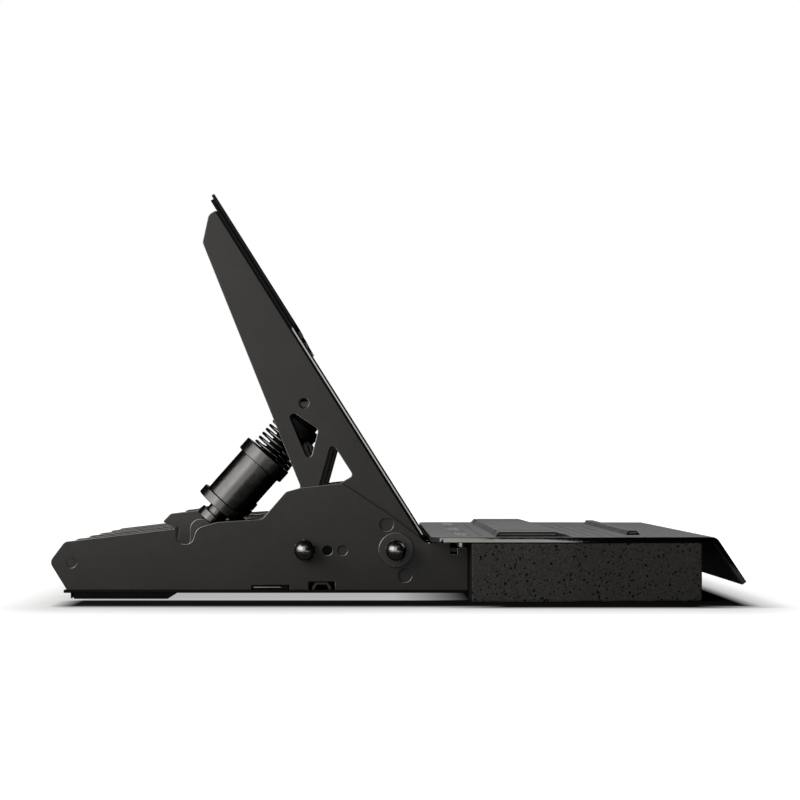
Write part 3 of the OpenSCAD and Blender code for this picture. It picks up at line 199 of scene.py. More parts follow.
def addFloor():
    bpy.ops.mesh.primitive_circle_add(vertices=96, radius=9, fill_type="NGON", location=(0, 0, 0))
    floor = bpy.context.object
    floor.name = "floor"
    paint = bpy.data.materials.new("paleFloorPaintedShadow")
    paint.use_nodes = True
    tree = paint.node_tree
    tree.nodes.clear()
    rays = addNode(tree, "LightPath")
    place = addNode(tree, "TexCoord")
    # the floor's colour and its glow to the camera are painted dark in a ring round the object as its shadow, and
    # the glow is lowered in a wider half shadow
    outer, foamShade, inner, half = [insideBox(tree, place, box) for box in paintedFloorShadow.values()]
    whole = addNode(tree, "Math", {"operation": "MAXIMUM"})
    wire(tree, outer, 0, whole, 0)
    wire(tree, foamShade, 0, whole, 1)
    ring = addNode(tree, "Math", {"operation": "SUBTRACT", "use_clamp": True})
    wire(tree, whole, 0, ring, 0)
    wire(tree, inner, 0, ring, 1)
    around = addNode(tree, "MapRange", values={"To Min": light["floorGlow"], "To Max": light["halfShadowGlow"]})
    wire(tree, half, 0, around, "Value")
    white = addNode(tree, "MapRange", values={"To Max": 0.0})
    wire(tree, ring, 0, white, "Value")
    wire(tree, around, 0, white, "To Min")
    seen = addNode(tree, "Math", {"operation": "MULTIPLY"})
    wire(tree, rays, "Is Camera Ray", seen, 0)
    wire(tree, white, 0, seen, 1)
    reach = addNode(tree, "VectorMath", {"operation": "LENGTH"})
    wire(tree, place, "Object", reach, 0)
    start, glow = light["mirroredNear"]
    far = addNode(tree, "MapRange", values={"From Min": start, "From Max": light["mirroredFar"],
                                            "To Min": glow, "To Max": light["floorGlow"]})
    wire(tree, reach, "Value", far, "Value")
    mirrored = addNode(tree, "Math", {"operation": "MULTIPLY_ADD"})
    wire(tree, rays, "Is Glossy Ray", mirrored, 0)
    wire(tree, far, 0, mirrored, 1)
    wire(tree, seen, 0, mirrored, 2)
    tone = addNode(tree, "Mix", {"data_type": "RGBA"})
    tone.inputs[6].default_value = srgb(light["floorColour"])
    tone.inputs[7].default_value = srgb(light["paintedShadowColour"])
    wire(tree, ring, 0, tone, "Factor")
    matt = addNode(tree, "BsdfDiffuse")
    wire(tree, tone, 2, matt, "Color")
    lit = addNode(tree, "Emission", values={"Color": (1, 1, 1, 1)})
    both = addNode(tree, "AddShader")
    out = addNode(tree, "OutputMaterial")
    wire(tree, mirrored, 0, lit, "Strength")
    wire(tree, matt, 0, both, 0)
    wire(tree, lit, 0, both, 1)
    wire(tree, both, 0, out, "Surface")
    floor.data.materials.append(paint)


def addCards():
    for name, (place, size, turn, brightness) in cards.items():
        cloth = bpy.data.materials.new(name + "Cloth")
        cloth.use_nodes = True
        cloth.node_tree.nodes.clear()
        lit = addNode(cloth.node_tree, "Emission", values={"Color": (1, 1, 1, 1), "Strength": brightness})
        wire(cloth.node_tree, lit, 0, addNode(cloth.node_tree, "OutputMaterial"), "Surface")
        bpy.ops.mesh.primitive_plane_add(size=1, location=place, rotation=[math.radians(a) for a in turn])
        card = bpy.context.object
        card.name = name
        card.scale = (*size, 1)
        card.data.materials.append(cloth)
        card.visible_camera = card.visible_diffuse = card.visible_shadow = card.visible_transmission = False


addCamera()
addSurroundings()
addLamp("left")
addLamp("back")
addFloor()
addCards()
print("camera, lamps and floor done")

# Finishes: grain sizes are real millimetres, read in Object coordinates


def newFinish(name, colour, roughness, metallic=0.0, specular=0.5):
    finish = bpy.data.materials.new(name)
    finish.use_nodes = True
    tree = finish.node_tree
    shader = tree.nodes["Principled BSDF"]
    shader.inputs["Base Color"].default_value = srgb(colour)
    shader.inputs["Roughness"].default_value = roughness
    shader.inputs["Metallic"].default_value = metallic
    shader.inputs["Specular IOR Level"].default_value = specular
    return finish, tree, shader


def noiseOf(tree, grain, detail=2.0, stretch=None):
    place = addNode(tree, "TexCoord")
    noise = addNode(tree, "TexNoise", values={"Scale": 1 / (grain * mm), "Detail": detail})
    if stretch:
        mapping = addNode(tree, "Mapping", values={"Scale": stretch})
        wire(tree, place, "Object", mapping, "Vector")
        wire(tree, mapping, "Vector", noise, "Vector")
    else:
        wire(tree, place, "Object", noise, "Vector")
    return noise


def rampOf(tree, noise, dark, pale, low=0.3, high=0.7):
    ramp = addNode(tree, "ValToRGB")
    ramp.color_ramp.elements[0].position = low
    ramp.color_ramp.elements[1].position = high
    ramp.color_ramp.elements[0].color = srgb(dark)
    ramp.color_ramp.elements[1].color = srgb(pale)
    wire(tree, noise, 0, ramp, 0)
    return ramp


def shades(tree, shader, noise, dark, pale):
    wire(tree, rampOf(tree, noise, dark, pale), 0, shader, "Base Color")


def roughens(tree, shader, noise, low, high):
    spread = addNode(tree, "MapRange", values={"From Min": 0.3, "From Max": 0.7,
                                               "To Min": low, "To Max": high})
    wire(tree, noise, 0, spread, "Value")
    wire(tree, spread, 0, shader, "Roughness")


def bumps(tree, shader, height, strength, depth, output=0):
    bump = addNode(tree, "Bump", values={"Strength": strength, "Distance": depth * mm})
    wire(tree, height, output, bump, "Height")
    wire(tree, bump, 0, shader, "Normal")


def powderCoat(name, dark, pale, roughness=0.5, specular=0.4):
    finish, tree, shader = newFinish(name, dark, roughness, specular=specular)
    shades(tree, shader, noiseOf(tree, 45, 3), dark, pale)
    roughens(tree, shader, noiseOf(tree, 6, 3), roughness - 0.05, roughness + 0.07)
    bumps(tree, shader, noiseOf(tree, 0.7, 3), 0.35, 0.05)
    return finish


def metal(name, dark, pale, roughness, grain=1.2, stretch=(1, 1, 1), edge=None):
    finish, tree, shader = newFinish(name, dark, roughness, metallic=1.0)
    if edge:
        shader.inputs["Specular Tint"].default_value = srgb(edge)
    shades(tree, shader, noiseOf(tree, 14, 3), dark, pale)
    roughens(tree, shader, noiseOf(tree, grain, 3, stretch), roughness - 0.05, roughness + 0.06)
    bumps(tree, shader, noiseOf(tree, grain / 2, 2, stretch), 0.1, 0.02)
    return finish


def turnedBlack():
    # black anodised aluminium with faint tool rings round the strut's axis
    finish, tree, shader = newFinish("blackAnodised", "#161616", 0.26, metallic=1.0)
    shader.inputs["Specular Tint"].default_value = srgb("#303030")
    place = addNode(tree, "TexCoord")
    mapping = addNode(tree, "Mapping", {"vector_type": "TEXTURE"}, {"Rotation": (0, strutTilt, 0)})
    rings = addNode(tree, "TexWave", {"bands_direction": "Z"},
                    {"Scale": 0.31 / (0.35 * mm), "Distortion": 0.4})
    wire(tree, place, "Object", mapping, "Vector")
    wire(tree, mapping, "Vector", rings, "Vector")
    shades(tree, shader, noiseOf(tree, 20, 3), "#363534", "#3d3c3b")
    roughens(tree, shader, noiseOf(tree, 4, 3), 0.22, 0.3)
    bumps(tree, shader, rings, 0.12, 0.02, "Fac")
    return finish


def rubberSkin(name, dark, pale):
    finish, tree, shader = newFinish(name, dark, 0.78, specular=0.05)
    shades(tree, shader, noiseOf(tree, 9, 3), dark, pale)
    bumps(tree, shader, noiseOf(tree, 0.9, 4), 0.5, 0.12)
    return finish


def foamPaintedShade():
    # open pores of about one millimetre, dented by a bump and painted near-black as the shade inside them, in a
    # charcoal ground with paler specks
    finish, tree, shader = newFinish("charcoalFoam", "#2c2a28", 0.95, specular=0.05)
    place = addNode(tree, "TexCoord")
    ground, output = rampOf(tree, noiseOf(tree, 0.8, 4), "#343330", "#524f4b", 0.32, 0.72), 0
    height = None
    for cell, size in ((3.0, 0.16), (5.0, 0.14), (2.0, 0.13)):  # spacing in mm, and the pores' share of it
        pores = addNode(tree, "TexVoronoi", values={"Scale": 1 / (cell * mm), "Randomness": 1.0})
        edge = addNode(tree, "MapRange", values={"From Min": size * 0.8, "From Max": size * 1.4})
        tone = addNode(tree, "Mix", {"data_type": "RGBA"})
        tone.inputs["A"].default_value = srgb("#0b0b0a")
        wire(tree, place, "Object", pores, "Vector")
        wire(tree, pores, "Distance", edge, "Value")
        wire(tree, edge, 0, tone, "Factor")
        wire(tree, ground, output, tone, 7)
        ground, output = tone, 2
        if height:
            lower = addNode(tree, "Math", {"operation": "MINIMUM"})
            wire(tree, height, 0, lower, 0)
            wire(tree, edge, 0, lower, 1)
            height = lower
        else:
            height = edge
    wire(tree, ground, output, shader, "Base Color")
    bumps(tree, shader, height, 0.8, 0.8)
    return finish


def plasticSkin(name, colour, pale):
    finish, tree, shader = newFinish(name, colour, 0.5)
    shades(tree, shader, noiseOf(tree, 12, 3), colour, pale)
    bumps(tree, shader, noiseOf(tree, 0.4, 2), 0.3, 0.04)
    return finish


padShadeStart = -68 * mm  # X where the pad starts; above it the plate's side is painted dark as the pad's shade


def groundSideAndPadShade():
    # the face plate's cut side: bright ground metal below the pad, and painted near-black above it as the pad's
    # shade
    finish, tree, shader = newFinish("groundSidePaintedShade", "#9c9d97", 0.16, metallic=1.0)
    grain = noiseOf(tree, 0.6, 2, (1, 1, 0.2))
    place = addNode(tree, "TexCoord")
    apart = addNode(tree, "SeparateXYZ")
    below = addNode(tree, "Math", {"operation": "GREATER_THAN"})
    below.inputs[1].default_value = padShadeStart
    wire(tree, place, "Object", apart, 0)
    wire(tree, apart, "X", below, 0)
    tone = addNode(tree, "Mix", {"data_type": "RGBA"})
    # near-black above the pad: painted shade of the pad
    tone.inputs[6].default_value = srgb("#0c0c0c")
    wire(tree, below, 0, tone, "Factor")
    wire(tree, rampOf(tree, grain, "#5c5c58", "#686864", 0, 1), 0, tone, 7)
    wire(tree, tone, 2, shader, "Base Color")
    bumps(tree, shader, grain, 0.1, 0.02)
    return finish


finishes = {
    "frameCoat": powderCoat("framePowderCoat", "#22201e", "#272522", 0.5, 0.13),
    "heelCoat": powderCoat("heelPowderCoat", "#252525", "#2c2c2c", 0.55, 0.05),
    "heelSide": metal("glossySheetSide", "#444442", "#4c4c4a", 0.06),
    # a paler grey for the ridges' end walls: a painted highlight
    "endWallHighlight": powderCoat("endWallPaintedHighlight", "#4a4a49", "#525251", 0.5, 0.1),
    # a paler glossy finish on rounded edges: a painted highlight
    "edgeHighlight": metal("paintedEdgeHighlight", "#55534f", "#605e5a", 0.22),
    "plateSide": groundSideAndPadShade(),
    "blackCoat": powderCoat("blackPowderCoat", "#080808", "#0d0d0d", 0.55, 0.03),
    "padCoat": powderCoat("padSatinCoat", "#0c0c0c", "#121212", 0.5, 0.03),
    "strutBlack": turnedBlack(),
    "nutBlack": metal("blackChrome", "#4d4c4b", "#565554", 0.14, edge="#5a5a5a"),
    "nutDome": metal("blackNutDome", "#575655", "#62605f", 0.24, edge="#666666"),
    "nutSide": metal("blackNutSide", "#3a3938", "#42413f", 0.38),
    "washerBlack": powderCoat("washerBlack", "#252321", "#2b2927", 0.4, 0.16),
    "springSteel": metal("darkSpringSteel", "#3c3b39", "#484745", 0.18, edge="#6a6a68"),
    "zinc": metal("zincPlate", "#8d8b84", "#a09e97", 0.34),
    "cheekZinc": powderCoat("bracketCoat", "#2d2c29", "#343330", 0.5, 0.14),
    "aluminium": metal("milledAluminium", "#b4b4b2", "#c3c3c1", 0.36, stretch=(0.1, 1, 1)),
    "rubber": rubberSkin("blackRubber", "#0b0b0b", "#141413"),
    # near-black rubber for the feet and the hole plugs, painted darker as the shade under and in them
    "rubberWithPaintedShade": rubberSkin("rubberWithPaintedShade", "#020202", "#050505"),
    "foam": foamPaintedShade(),
    # near-black for the foam's face towards the pedals: painted shade
    "foamPaintedShade": rubberSkin("foamSidePaintedShade", "#0e0e0d", "#161615"),
    "plastic": plasticSkin("blackPlastic", "#1b1b1b", "#222222"),
    "board": plasticSkin("boardGreen", "#1d4a2e", "#255838"),
}
print("finishes done:", len(finishes))

# Tools for the pieces


def deselect():
    bpy.ops.object.select_all(action="DESELECT")


def pick(piece):
    deselect()
    piece.select_set(True)
    bpy.context.view_layer.objects.active = piece


def settle(piece, name, finish):
    pick(piece)
    bpy.ops.object.transform_apply(location=True, rotation=True, scale=True)
    piece.name = name
    piece.data.materials.clear()
    piece.data.materials.append(finishes[finish])
    return piece


def smooth(piece, angle=35):
    # flat faces stay flat and only their rounded edges turn
    pick(piece)
    bpy.ops.object.shade_smooth_by_angle(angle=math.radians(angle))
    level = piece.modifiers.new("level", "WEIGHTED_NORMAL")
    level.weight = 100
    level.keep_sharp = True
    bpy.ops.object.modifier_apply(modifier=level.name)


def bevelled(piece, width, segments=2, angle=32, rim=None, clamp=True):
    # rim names a second finish for the rounded edges alone
    pick(piece)
    edge = piece.modifiers.new("edge", "BEVEL")
    if rim:
        piece.data.materials.append(finishes[rim])
        edge.material = 1
    edge.width = width * mm
    edge.segments = segments
    edge.limit_method = "ANGLE"
    edge.angle_limit = math.radians(angle)
    edge.use_clamp_overlap = clamp
    edge.miter_outer = "MITER_ARC"
    bpy.ops.object.modifier_apply(modifier=edge.name)


def cut(piece, cutter):
    pick(piece)
    hole = piece.modifiers.new("hole", "BOOLEAN")
    hole.operation = "DIFFERENCE"
    hole.solver = "EXACT"
    hole.object = cutter
    bpy.ops.object.modifier_apply(modifier=hole.name)
    bpy.data.objects.remove(cutter, do_unlink=True)


def joined(parts):
    deselect()
    for part in parts:
        part.select_set(True)
    bpy.context.view_layer.objects.active = parts[0]
    if len(parts) > 1:
        bpy.ops.object.join()
    return parts[0]


def placedCopy(master, matrix):
    copy = bpy.data.objects.new(master.name + "Copy", master.data.copy())
    bpy.context.collection.objects.link(copy)
    copy.data.transform(matrix)
    return copy


def plainCopy(node, name, finish):
    # the CAD node's shape as a clean mesh, ready for a modifier
    piece = bpy.data.objects.new(name, cadNodes[node].data.copy())
    bpy.context.collection.objects.link(piece)
    piece.data.materials.clear()
    piece.data.materials.append(finishes[finish])
    pick(piece)
    bpy.ops.object.mode_set(mode="EDIT")
    bpy.ops.mesh.select_all(action="SELECT")
    bpy.ops.mesh.remove_doubles(threshold=1e-6)
    bpy.ops.mesh.dissolve_limited(angle_limit=math.radians(0.4))
    bpy.ops.object.mode_set(mode="OBJECT")
    return piece


def rod(name, finish, diameter, length, place=(0, 0, 0), corners=40, turn=(0, 0, 0)):
    # a cylinder, or a prism where it has six corners: sizes and place in millimetres
    deselect()
    bpy.ops.mesh.primitive_cylinder_add(vertices=corners, radius=diameter / 2 * mm, depth=length * mm,
                                        location=[share * mm for share in place], rotation=turn)
    return settle(bpy.context.object, name, finish)


def acrossCorners(flats):
    return flats / math.cos(math.radians(30))


def finished(piece, node):
    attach(piece, bodyOf[node])
    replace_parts(piece, node)
    return piece


def paintFaces(piece, finish, wanted):
    mesh = piece.data
    slot = len(mesh.materials)
    mesh.materials.append(finishes[finish])
    for face in mesh.polygons:
        if wanted(face):
            face.material_index = slot


def faceEdges(piece, finish):
    # a second finish for the sheet's cut sides, the faces on its two end planes in Y
    places = [vertex.co.y for vertex in piece.data.vertices]
    low, high = min(places) + near, max(places) - near
    paintFaces(piece, finish, lambda face: abs(face.normal.y) > 0.995 and not low < face.center.y < high)


def roundEdges(piece, width, segments, wanted):
    # a radius on the sharp edges whose two ends wanted accepts
    pick(piece)
    bpy.ops.object.mode_set(mode="EDIT")
    bpy.ops.mesh.select_mode(type="EDGE")
    bpy.ops.mesh.select_all(action="DESELECT")
    bpy.ops.mesh.edges_select_sharp(sharpness=math.radians(32))
    bpy.ops.object.mode_set(mode="OBJECT")
    for edge in piece.data.edges:
        edge.select = edge.select and wanted(*(piece.data.vertices[k].co for k in edge.vertices))
    bpy.ops.object.mode_set(mode="EDIT")
    bpy.ops.mesh.bevel(offset=width * mm, segments=segments, affect="EDGES", clamp_overlap=False)
    bpy.ops.object.mode_set(mode="OBJECT")


armEdges = {"slope": (1.4, 0.8), "facePlate": 1.15, "segments": 4}


def slopeFront(piece, pedal):
    # the arm plates' outer front edges slope away from the side
    toWorld = onArm(pedal)
    toArm = toWorld.inverted()
    places = [toArm @ vertex.co for vertex in piece.data.vertices]
    front = max(place.x for place in places)
    side = max(abs(place.y) for place in places)
    along, inward = (share * mm for share in armEdges["slope"])
    pick(piece)
    bpy.ops.object.mode_set(mode="EDIT")
    bpy.ops.mesh.select_all(action="SELECT")
    bpy.ops.mesh.bisect(plane_co=toWorld @ Vector((front - along, 0, 0)),
                        plane_no=toWorld.to_3x3() @ Vector((1, 0, 0)))
    bpy.ops.object.mode_set(mode="OBJECT")
    for vertex in piece.data.vertices:
        place = toArm @ vertex.co
        if place.x > front - near and abs(place.y) > side - near:
            place.y -= math.copysign(inward, place.y)
            vertex.co = toWorld @ place


def roundFront(piece, pedal):
    # a radius on the face plate's two outer front edges
    toArm = onArm(pedal).inverted()
    places = [toArm @ vertex.co for vertex in piece.data.vertices]
    front = max(place.x for place in places) - near
    side = max(abs(place.y) for place in places) - near

    def wanted(a, b):
        a, b = toArm @ a, toArm @ b
        return min(a.x, b.x) > front and min(abs(a.y), abs(b.y)) > side and abs(a.z - b.z) > 5 * mm

    roundEdges(piece, armEdges["facePlate"], armEdges["segments"], wanted)


def softened(node, finish, width, segments=2, angle=32, rim=None, sides=None, clamp=True, front=None):
    piece = plainCopy(node, node + "_edged", finish)
    if front:
        shape, pedal = front
        shape(piece, pedal)
    bevelled(piece, width, segments, angle, rim, clamp)
    if rim:
        # the painted highlight is left off the edges that face the driver, away from the left lamp; these keep the
        # plain coat
        for face in piece.data.polygons:
            if face.material_index == 1 and face.normal.x > 0.12:
                face.material_index = 0
    if front:
        # the arm's front, also on its rounded or sloped edges, is painted black as shade
        armFront = Matrix.Rotation(-lean, 3, "Y") @ Vector((1, 0, 0))
        paintFaces(piece, "blackCoat", lambda face: abs(face.normal.y) < 0.985 and face.normal.dot(armFront) > 0.15)
    if sides:
        faceEdges(piece, sides)
    smooth(piece)
    return finished(piece, node)


def insetFaces(piece, width, finish, wanted):
    # a line left round the wanted faces, and a second finish inside it
    pick(piece)
    for face in piece.data.polygons:
        face.select = wanted(face)
    bpy.ops.object.mode_set(mode="EDIT")
    bpy.ops.mesh.select_mode(type="FACE")
    bpy.ops.mesh.inset(thickness=width * mm, use_individual=True)
    bpy.ops.object.mode_set(mode="OBJECT")
    paintFaces(piece, finish, lambda face: face.select)


# Sheet metal: each node keeps its shape and gets rounded, light-catching edges; on frames, arms and strut brackets
# the edges carry a painted highlight

sheetEdges = {
    "base_plate": ("blackCoat", 0.35), "flat_cross_rail": ("blackCoat", 0.3),
    "arch_cross_rail": ("frameCoat", 0.3), "frame_bridges": ("frameCoat", 0.3),
}
railEndLine = 0.6
for node, (finish, width) in sheetEdges.items():
    sheet = softened(node, finish, width, clamp=False)
    if node == "flat_cross_rail":
        insetFaces(sheet, railEndLine, "heelSide", lambda face: abs(face.normal.y) > 0.95)
for pedal in pedals:
    softened(pedal + "_frame", "frameCoat", 0.35, rim="edgeHighlight", clamp=False)
    softened(pedal + "_arm_plates", "frameCoat", 0.35, rim="edgeHighlight", clamp=False,
             front=(slopeFront, pedal))
    softened(pedal + "_face_plate", "blackCoat", 0.25, sides="plateSide", clamp=False,
             front=(roundFront, pedal))
    softened(pedal + "_strut_bracket", "cheekZinc", 0.4, rim="edgeHighlight", clamp=False)
    softened(pedal + "_trunnion", "blackCoat", 0.5)
    softened(pedal + "_pivot_tube", "zinc", 0.5)
    softened(pedal + "_barrel", "strutBlack", 0.25, angle=40)
    softened(pedal + "_plunger", "blackCoat", 0.25, angle=40)
    softened(pedal + "_trunnion_pin", "zinc", 0.4)
print("sheet metal and struts done")

# Small hardware that keeps its CAD shape

smallEdges = {
    "rear_tie_pins": ("frameCoat", 0.4), "pivot_bolts": ("zinc", 0.4), "stop_bolts": ("zinc", 0.4),
    "pivot_washers": ("washerBlack", 0.35), "stop_rubbers": ("rubber", 0.8),
    "strut_lower_pins": ("washerBlack", 0.3), "pedal_sensors": ("plastic", 0.8),
    "brake_load_cell": ("aluminium", 0.4), "controller_housing": ("plastic", 0.8),
    "controller_board": ("board", 0.1), "usb_socket": ("zinc", 0.15),
    "heel_plate_spacers": ("zinc", 0.2), "rear_feet": ("rubberWithPaintedShade", 0.5),
}
for node, (finish, width) in smallEdges.items():
    softened(node, finish, width, rim="edgeHighlight" if node == "pivot_washers" else None)


stud = {"sunk": 1.5, "plugPlace": (-44.5, 32.3), "plug": 6.2, "plugLength": 1.2, "plugSunk": 0.8}


def makeStuds():
    # pressed studs, their ends a little below the side plates
    piece = plainCopy("frame_studs", "frameStuds", "frameCoat")
    offsets = []
    for vertex in piece.data.vertices:
        offsets.append(min((vertex.co.y - middle for middle in pedals.values()), key=abs))
    reach = max(abs(offset) for offset in offsets)
    for vertex, offset in zip(piece.data.vertices, offsets):
        if abs(offset) > reach - near:
            vertex.co.y -= math.copysign(stud["sunk"] * mm, offset)
    # a near-black plug a little below the surface in each adjusting hole, which keeps the hole dark as painted
    # shade
    x, z = stud["plugPlace"]
    out = reach / mm - stud["plugSunk"] - stud["plugLength"] / 2
    parts = [piece]
    for middle in pedals.values():
        for side in (-1, 1):
            parts.append(rod("plug", "rubberWithPaintedShade", stud["plug"], stud["plugLength"],
                             (x, middle / mm + side * out, z), 32, (math.radians(90), 0, 0)))
    piece = joined(parts)
    smooth(piece)
    return finished(piece, "frame_studs")


makeStuds()
print("small hardware done")

# Dome nuts

domeNut = {
    "acrossFlats": 13.0, "domeOver": 0.2, "hexHeight": 6.5, "height": 15.0, "edge": 0.3,
    "places": ((1.2, 32.7, 24.9, 17), (-59.5, 32.7, 23.4, 4)),  # x, z, distance from the frame's middle, turn
}


def makeDomeNut():
    height = domeNut["hexHeight"]
    dome = domeNut["acrossFlats"] / 2 + domeNut["domeOver"]
    middle = (domeNut["height"] - dome) * mm
    hexagon = rod("hexagon", "nutSide", acrossCorners(domeNut["acrossFlats"]), height, (0, 0, height / 2), 6)
    bevelled(hexagon, domeNut["edge"], 3)
    deselect()
    bpy.ops.mesh.primitive_uv_sphere_add(segments=48, ring_count=32, radius=dome * mm,
                                         location=(0, 0, middle))
    cap = settle(bpy.context.object, "cap", "nutDome")
    bpy.ops.object.mode_set(mode="EDIT")
    bpy.ops.mesh.select_all(action="SELECT")
    bpy.ops.mesh.bisect(plane_co=(0, 0, middle), plane_no=(0, 0, 1), clear_inner=True)
    bpy.ops.mesh.select_all(action="DESELECT")
    bpy.ops.mesh.select_non_manifold()
    down = height * 0.7 * mm - middle
    bpy.ops.mesh.extrude_region_move(TRANSFORM_OT_translate={"value": (0, 0, down)})
    bpy.ops.mesh.edge_face_add()
    bpy.ops.mesh.select_all(action="SELECT")
    bpy.ops.mesh.normals_make_consistent(inside=False)
    bpy.ops.object.mode_set(mode="OBJECT")
    whole = joined([hexagon, cap])
    smooth(whole)
    return whole


nut = makeDomeNut()
copies = []
for middle in pedals.values():
    for x, z, reach, turn in domeNut["places"]:
        for side in (-1, 1):
            spot = Matrix.Translation((x * mm, middle + side * reach * mm, z * mm))
            outward = Matrix.Rotation(math.radians(90) * -side, 4, "X")
            copies.append(placedCopy(nut, spot @ outward @ Matrix.Rotation(math.radians(turn), 4, "Z")))
bpy.data.objects.remove(nut, do_unlink=True)
nuts = joined(copies)
nuts.name = "domeNuts"
finished(nuts, "dome_nuts")
print("dome nuts done")

# Springs

springs = {
    "clutch": {"tube": 31.7, "wall": 1.85, "wire": 2.0, "curls": 18},
    "brake": {"tube": 23.0, "wall": 1.6, "wire": 3.2, "curls": 9},
    "throttle": {"tube": 15.6, "wall": 1.3, "wire": 1.2, "curls": 20},
}
springSeat = {"foot": 28.6, "cap": 91.65774, "inside": 0.5, "gap": 0.02, "perCurl": 28}


def makeSpring(pedal, size):
    radius = (size["tube"] / 2 - size["wall"] - springSeat["inside"] - size["wire"] / 2) * mm
    low = (springSeat["foot"] + size["wire"] / 2 + springSeat["gap"]) * mm
    high = (springSeat["cap"] - size["wire"] / 2 - springSeat["gap"]) * mm
    dead = size["wire"] * 1.04 * mm  # the closed curl at each end
    points = []
    for k in range(size["curls"] * springSeat["perCurl"] + 1):
        turns = k / springSeat["perCurl"]
        if turns <= 1:
            along = low + dead * turns
        elif turns < size["curls"] - 1:
            along = low + dead + (high - low - 2 * dead) * (turns - 1) / (size["curls"] - 2)
        else:
            along = high - dead * (size["curls"] - turns)
        angle = 2 * math.pi * turns
        points.append((radius * math.cos(angle), radius * math.sin(angle), along))
    curve = bpy.data.curves.new(pedal + "Coil", "CURVE")
    curve.dimensions = "3D"
    spline = curve.splines.new("POLY")
    spline.points.add(len(points) - 1)
    for place, point in zip(spline.points, points):
        place.co = (*point, 1)
    curve.bevel_depth = size["wire"] / 2 * mm
    curve.bevel_resolution = 3
    curve.use_fill_caps = True
    coil = bpy.data.objects.new(pedal + "Coil", curve)
    bpy.context.collection.objects.link(coil)
    pick(coil)
    bpy.ops.object.convert(target="MESH")
    coil = bpy.context.object
    coil.data.transform(onStrut(pedal))
    settle(coil, pedal + "Coil", "springSteel")
    smooth(coil, 60)
    return coil


jointOf = {joint["name"]: joint for joint in frame["record"]["behaviour"]["joints"]}
for pedal, size in springs.items():
    coil = makeSpring(pedal, size)
    finished(coil, pedal + "_spring")
    reach = abs(jointOf[pedal + "_plunger_slide"]["range_m"][0])
    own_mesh(coil)
print("springs done")

# Pads, with the grip holes edged

for pedal in pedals:
    softened(pedal + "_pad", "padCoat", 0.9, 4, 40)

# Arm screws: countersunk socket screws and lock nuts at the pads, cup-ended screws at the trunnion

armScrew = {
    "shank": 5.0, "head": 9.5, "headHeight": 1.76, "socket": 3.0, "socketDepth": 1.5,
    "front": 24.1, "back": 14.0, "nutFlats": 7.8, "nutHeight": 4.0, "nutSeat": 19.6,
    "rows": (169.3, 253.3), "across": 9.3,
}
crossScrew = {"place": (0.2, 115.7), "out": 17.85, "width": 6.2, "length": 4.7, "bore": 5.4, "boreDepth": 3.0}


def makePadScrew():
    length = armScrew["front"] - armScrew["back"]
    shank = rod("shank", "nutBlack", armScrew["shank"], length, (0, 0, -length / 2))
    bevelled(shank, 0.5)
    deselect()
    bpy.ops.mesh.primitive_cone_add(vertices=40, radius1=armScrew["shank"] / 2 * mm,
                                    radius2=armScrew["head"] / 2 * mm, depth=armScrew["headHeight"] * mm,
                                    location=(0, 0, -armScrew["headHeight"] / 2 * mm))
    head = settle(bpy.context.object, "head", "nutBlack")
    bevelled(head, 0.2, angle=20)
    for part in (head, shank):
        cut(part, rod("socket", "nutBlack", acrossCorners(armScrew["socket"]),
                      2 * armScrew["socketDepth"], corners=6))
    low = armScrew["nutSeat"] - armScrew["front"] - armScrew["nutHeight"] / 2
    lock = rod("lock", "zinc", acrossCorners(armScrew["nutFlats"]), armScrew["nutHeight"], (0, 0, low), 6)
    bevelled(lock, 0.4)
    whole = joined([head, shank, lock])
    smooth(whole)
    return whole


def makeCrossScrew():
    screw = rod("crossScrew", "washerBlack", crossScrew["width"], crossScrew["length"])
    cut(screw, rod("bore", "washerBlack", crossScrew["bore"], crossScrew["boreDepth"],
                   (0, 0, crossScrew["length"] / 2)))
    bevelled(screw, 0.2)
    smooth(screw)
    return screw


padMaster = makePadScrew()
crossMaster = makeCrossScrew()
for pedal in pedals:
    copies = []
    for a in armScrew["rows"]:
        for side in (-1, 1):
            spot = Matrix.Translation((armScrew["front"] * mm, side * armScrew["across"] * mm, a * mm))
            outward = Matrix.Rotation(math.radians(90), 4, "Y")
            copies.append(placedCopy(padMaster, onArm(pedal) @ spot @ outward))
    b, a = crossScrew["place"]
    for side in (-1, 1):
        spot = Matrix.Translation((b * mm, side * crossScrew["out"] * mm, a * mm))
        outward = Matrix.Rotation(math.radians(-90) * side, 4, "X")
        copies.append(placedCopy(crossMaster, onArm(pedal) @ spot @ outward))
    screws = joined(copies)
    screws.name = pedal + "ArmScrews"
    finished(screws, pedal + "_arm_screws")
bpy.data.objects.remove(padMaster, do_unlink=True)
bpy.data.objects.remove(crossMaster, do_unlink=True)
print("pads and arm screws done")

# Heel plate with its anti-slip holes, and its screws

heel = {
    "top": 42.3, "edge": 0.35, "sideY": 140.0, "kinkX": 117.3,
    "hole": 4.0, "pitch": 14.0, "clearOfScrews": 9.0,
    "rows": {41.7: 127.0, 49.7: 127.0, 57.7: 127.0, 121.7: 119.0, 129.7: 119.0, 137.7: 119.0, 145.7: 119.0},
    "endSplit": 106.5, "endLength": 12.0, "endShadeLine": 0.7,
}
heelScrew = {
    "place": (45.2, 11.913), "head": 9.0, "headHeight": 2.0, "socket": 3.5, "socketDepth": 2.6,
    "shank": 5.0, "shankTop": -1.8, "shankLength": 13.0,
}


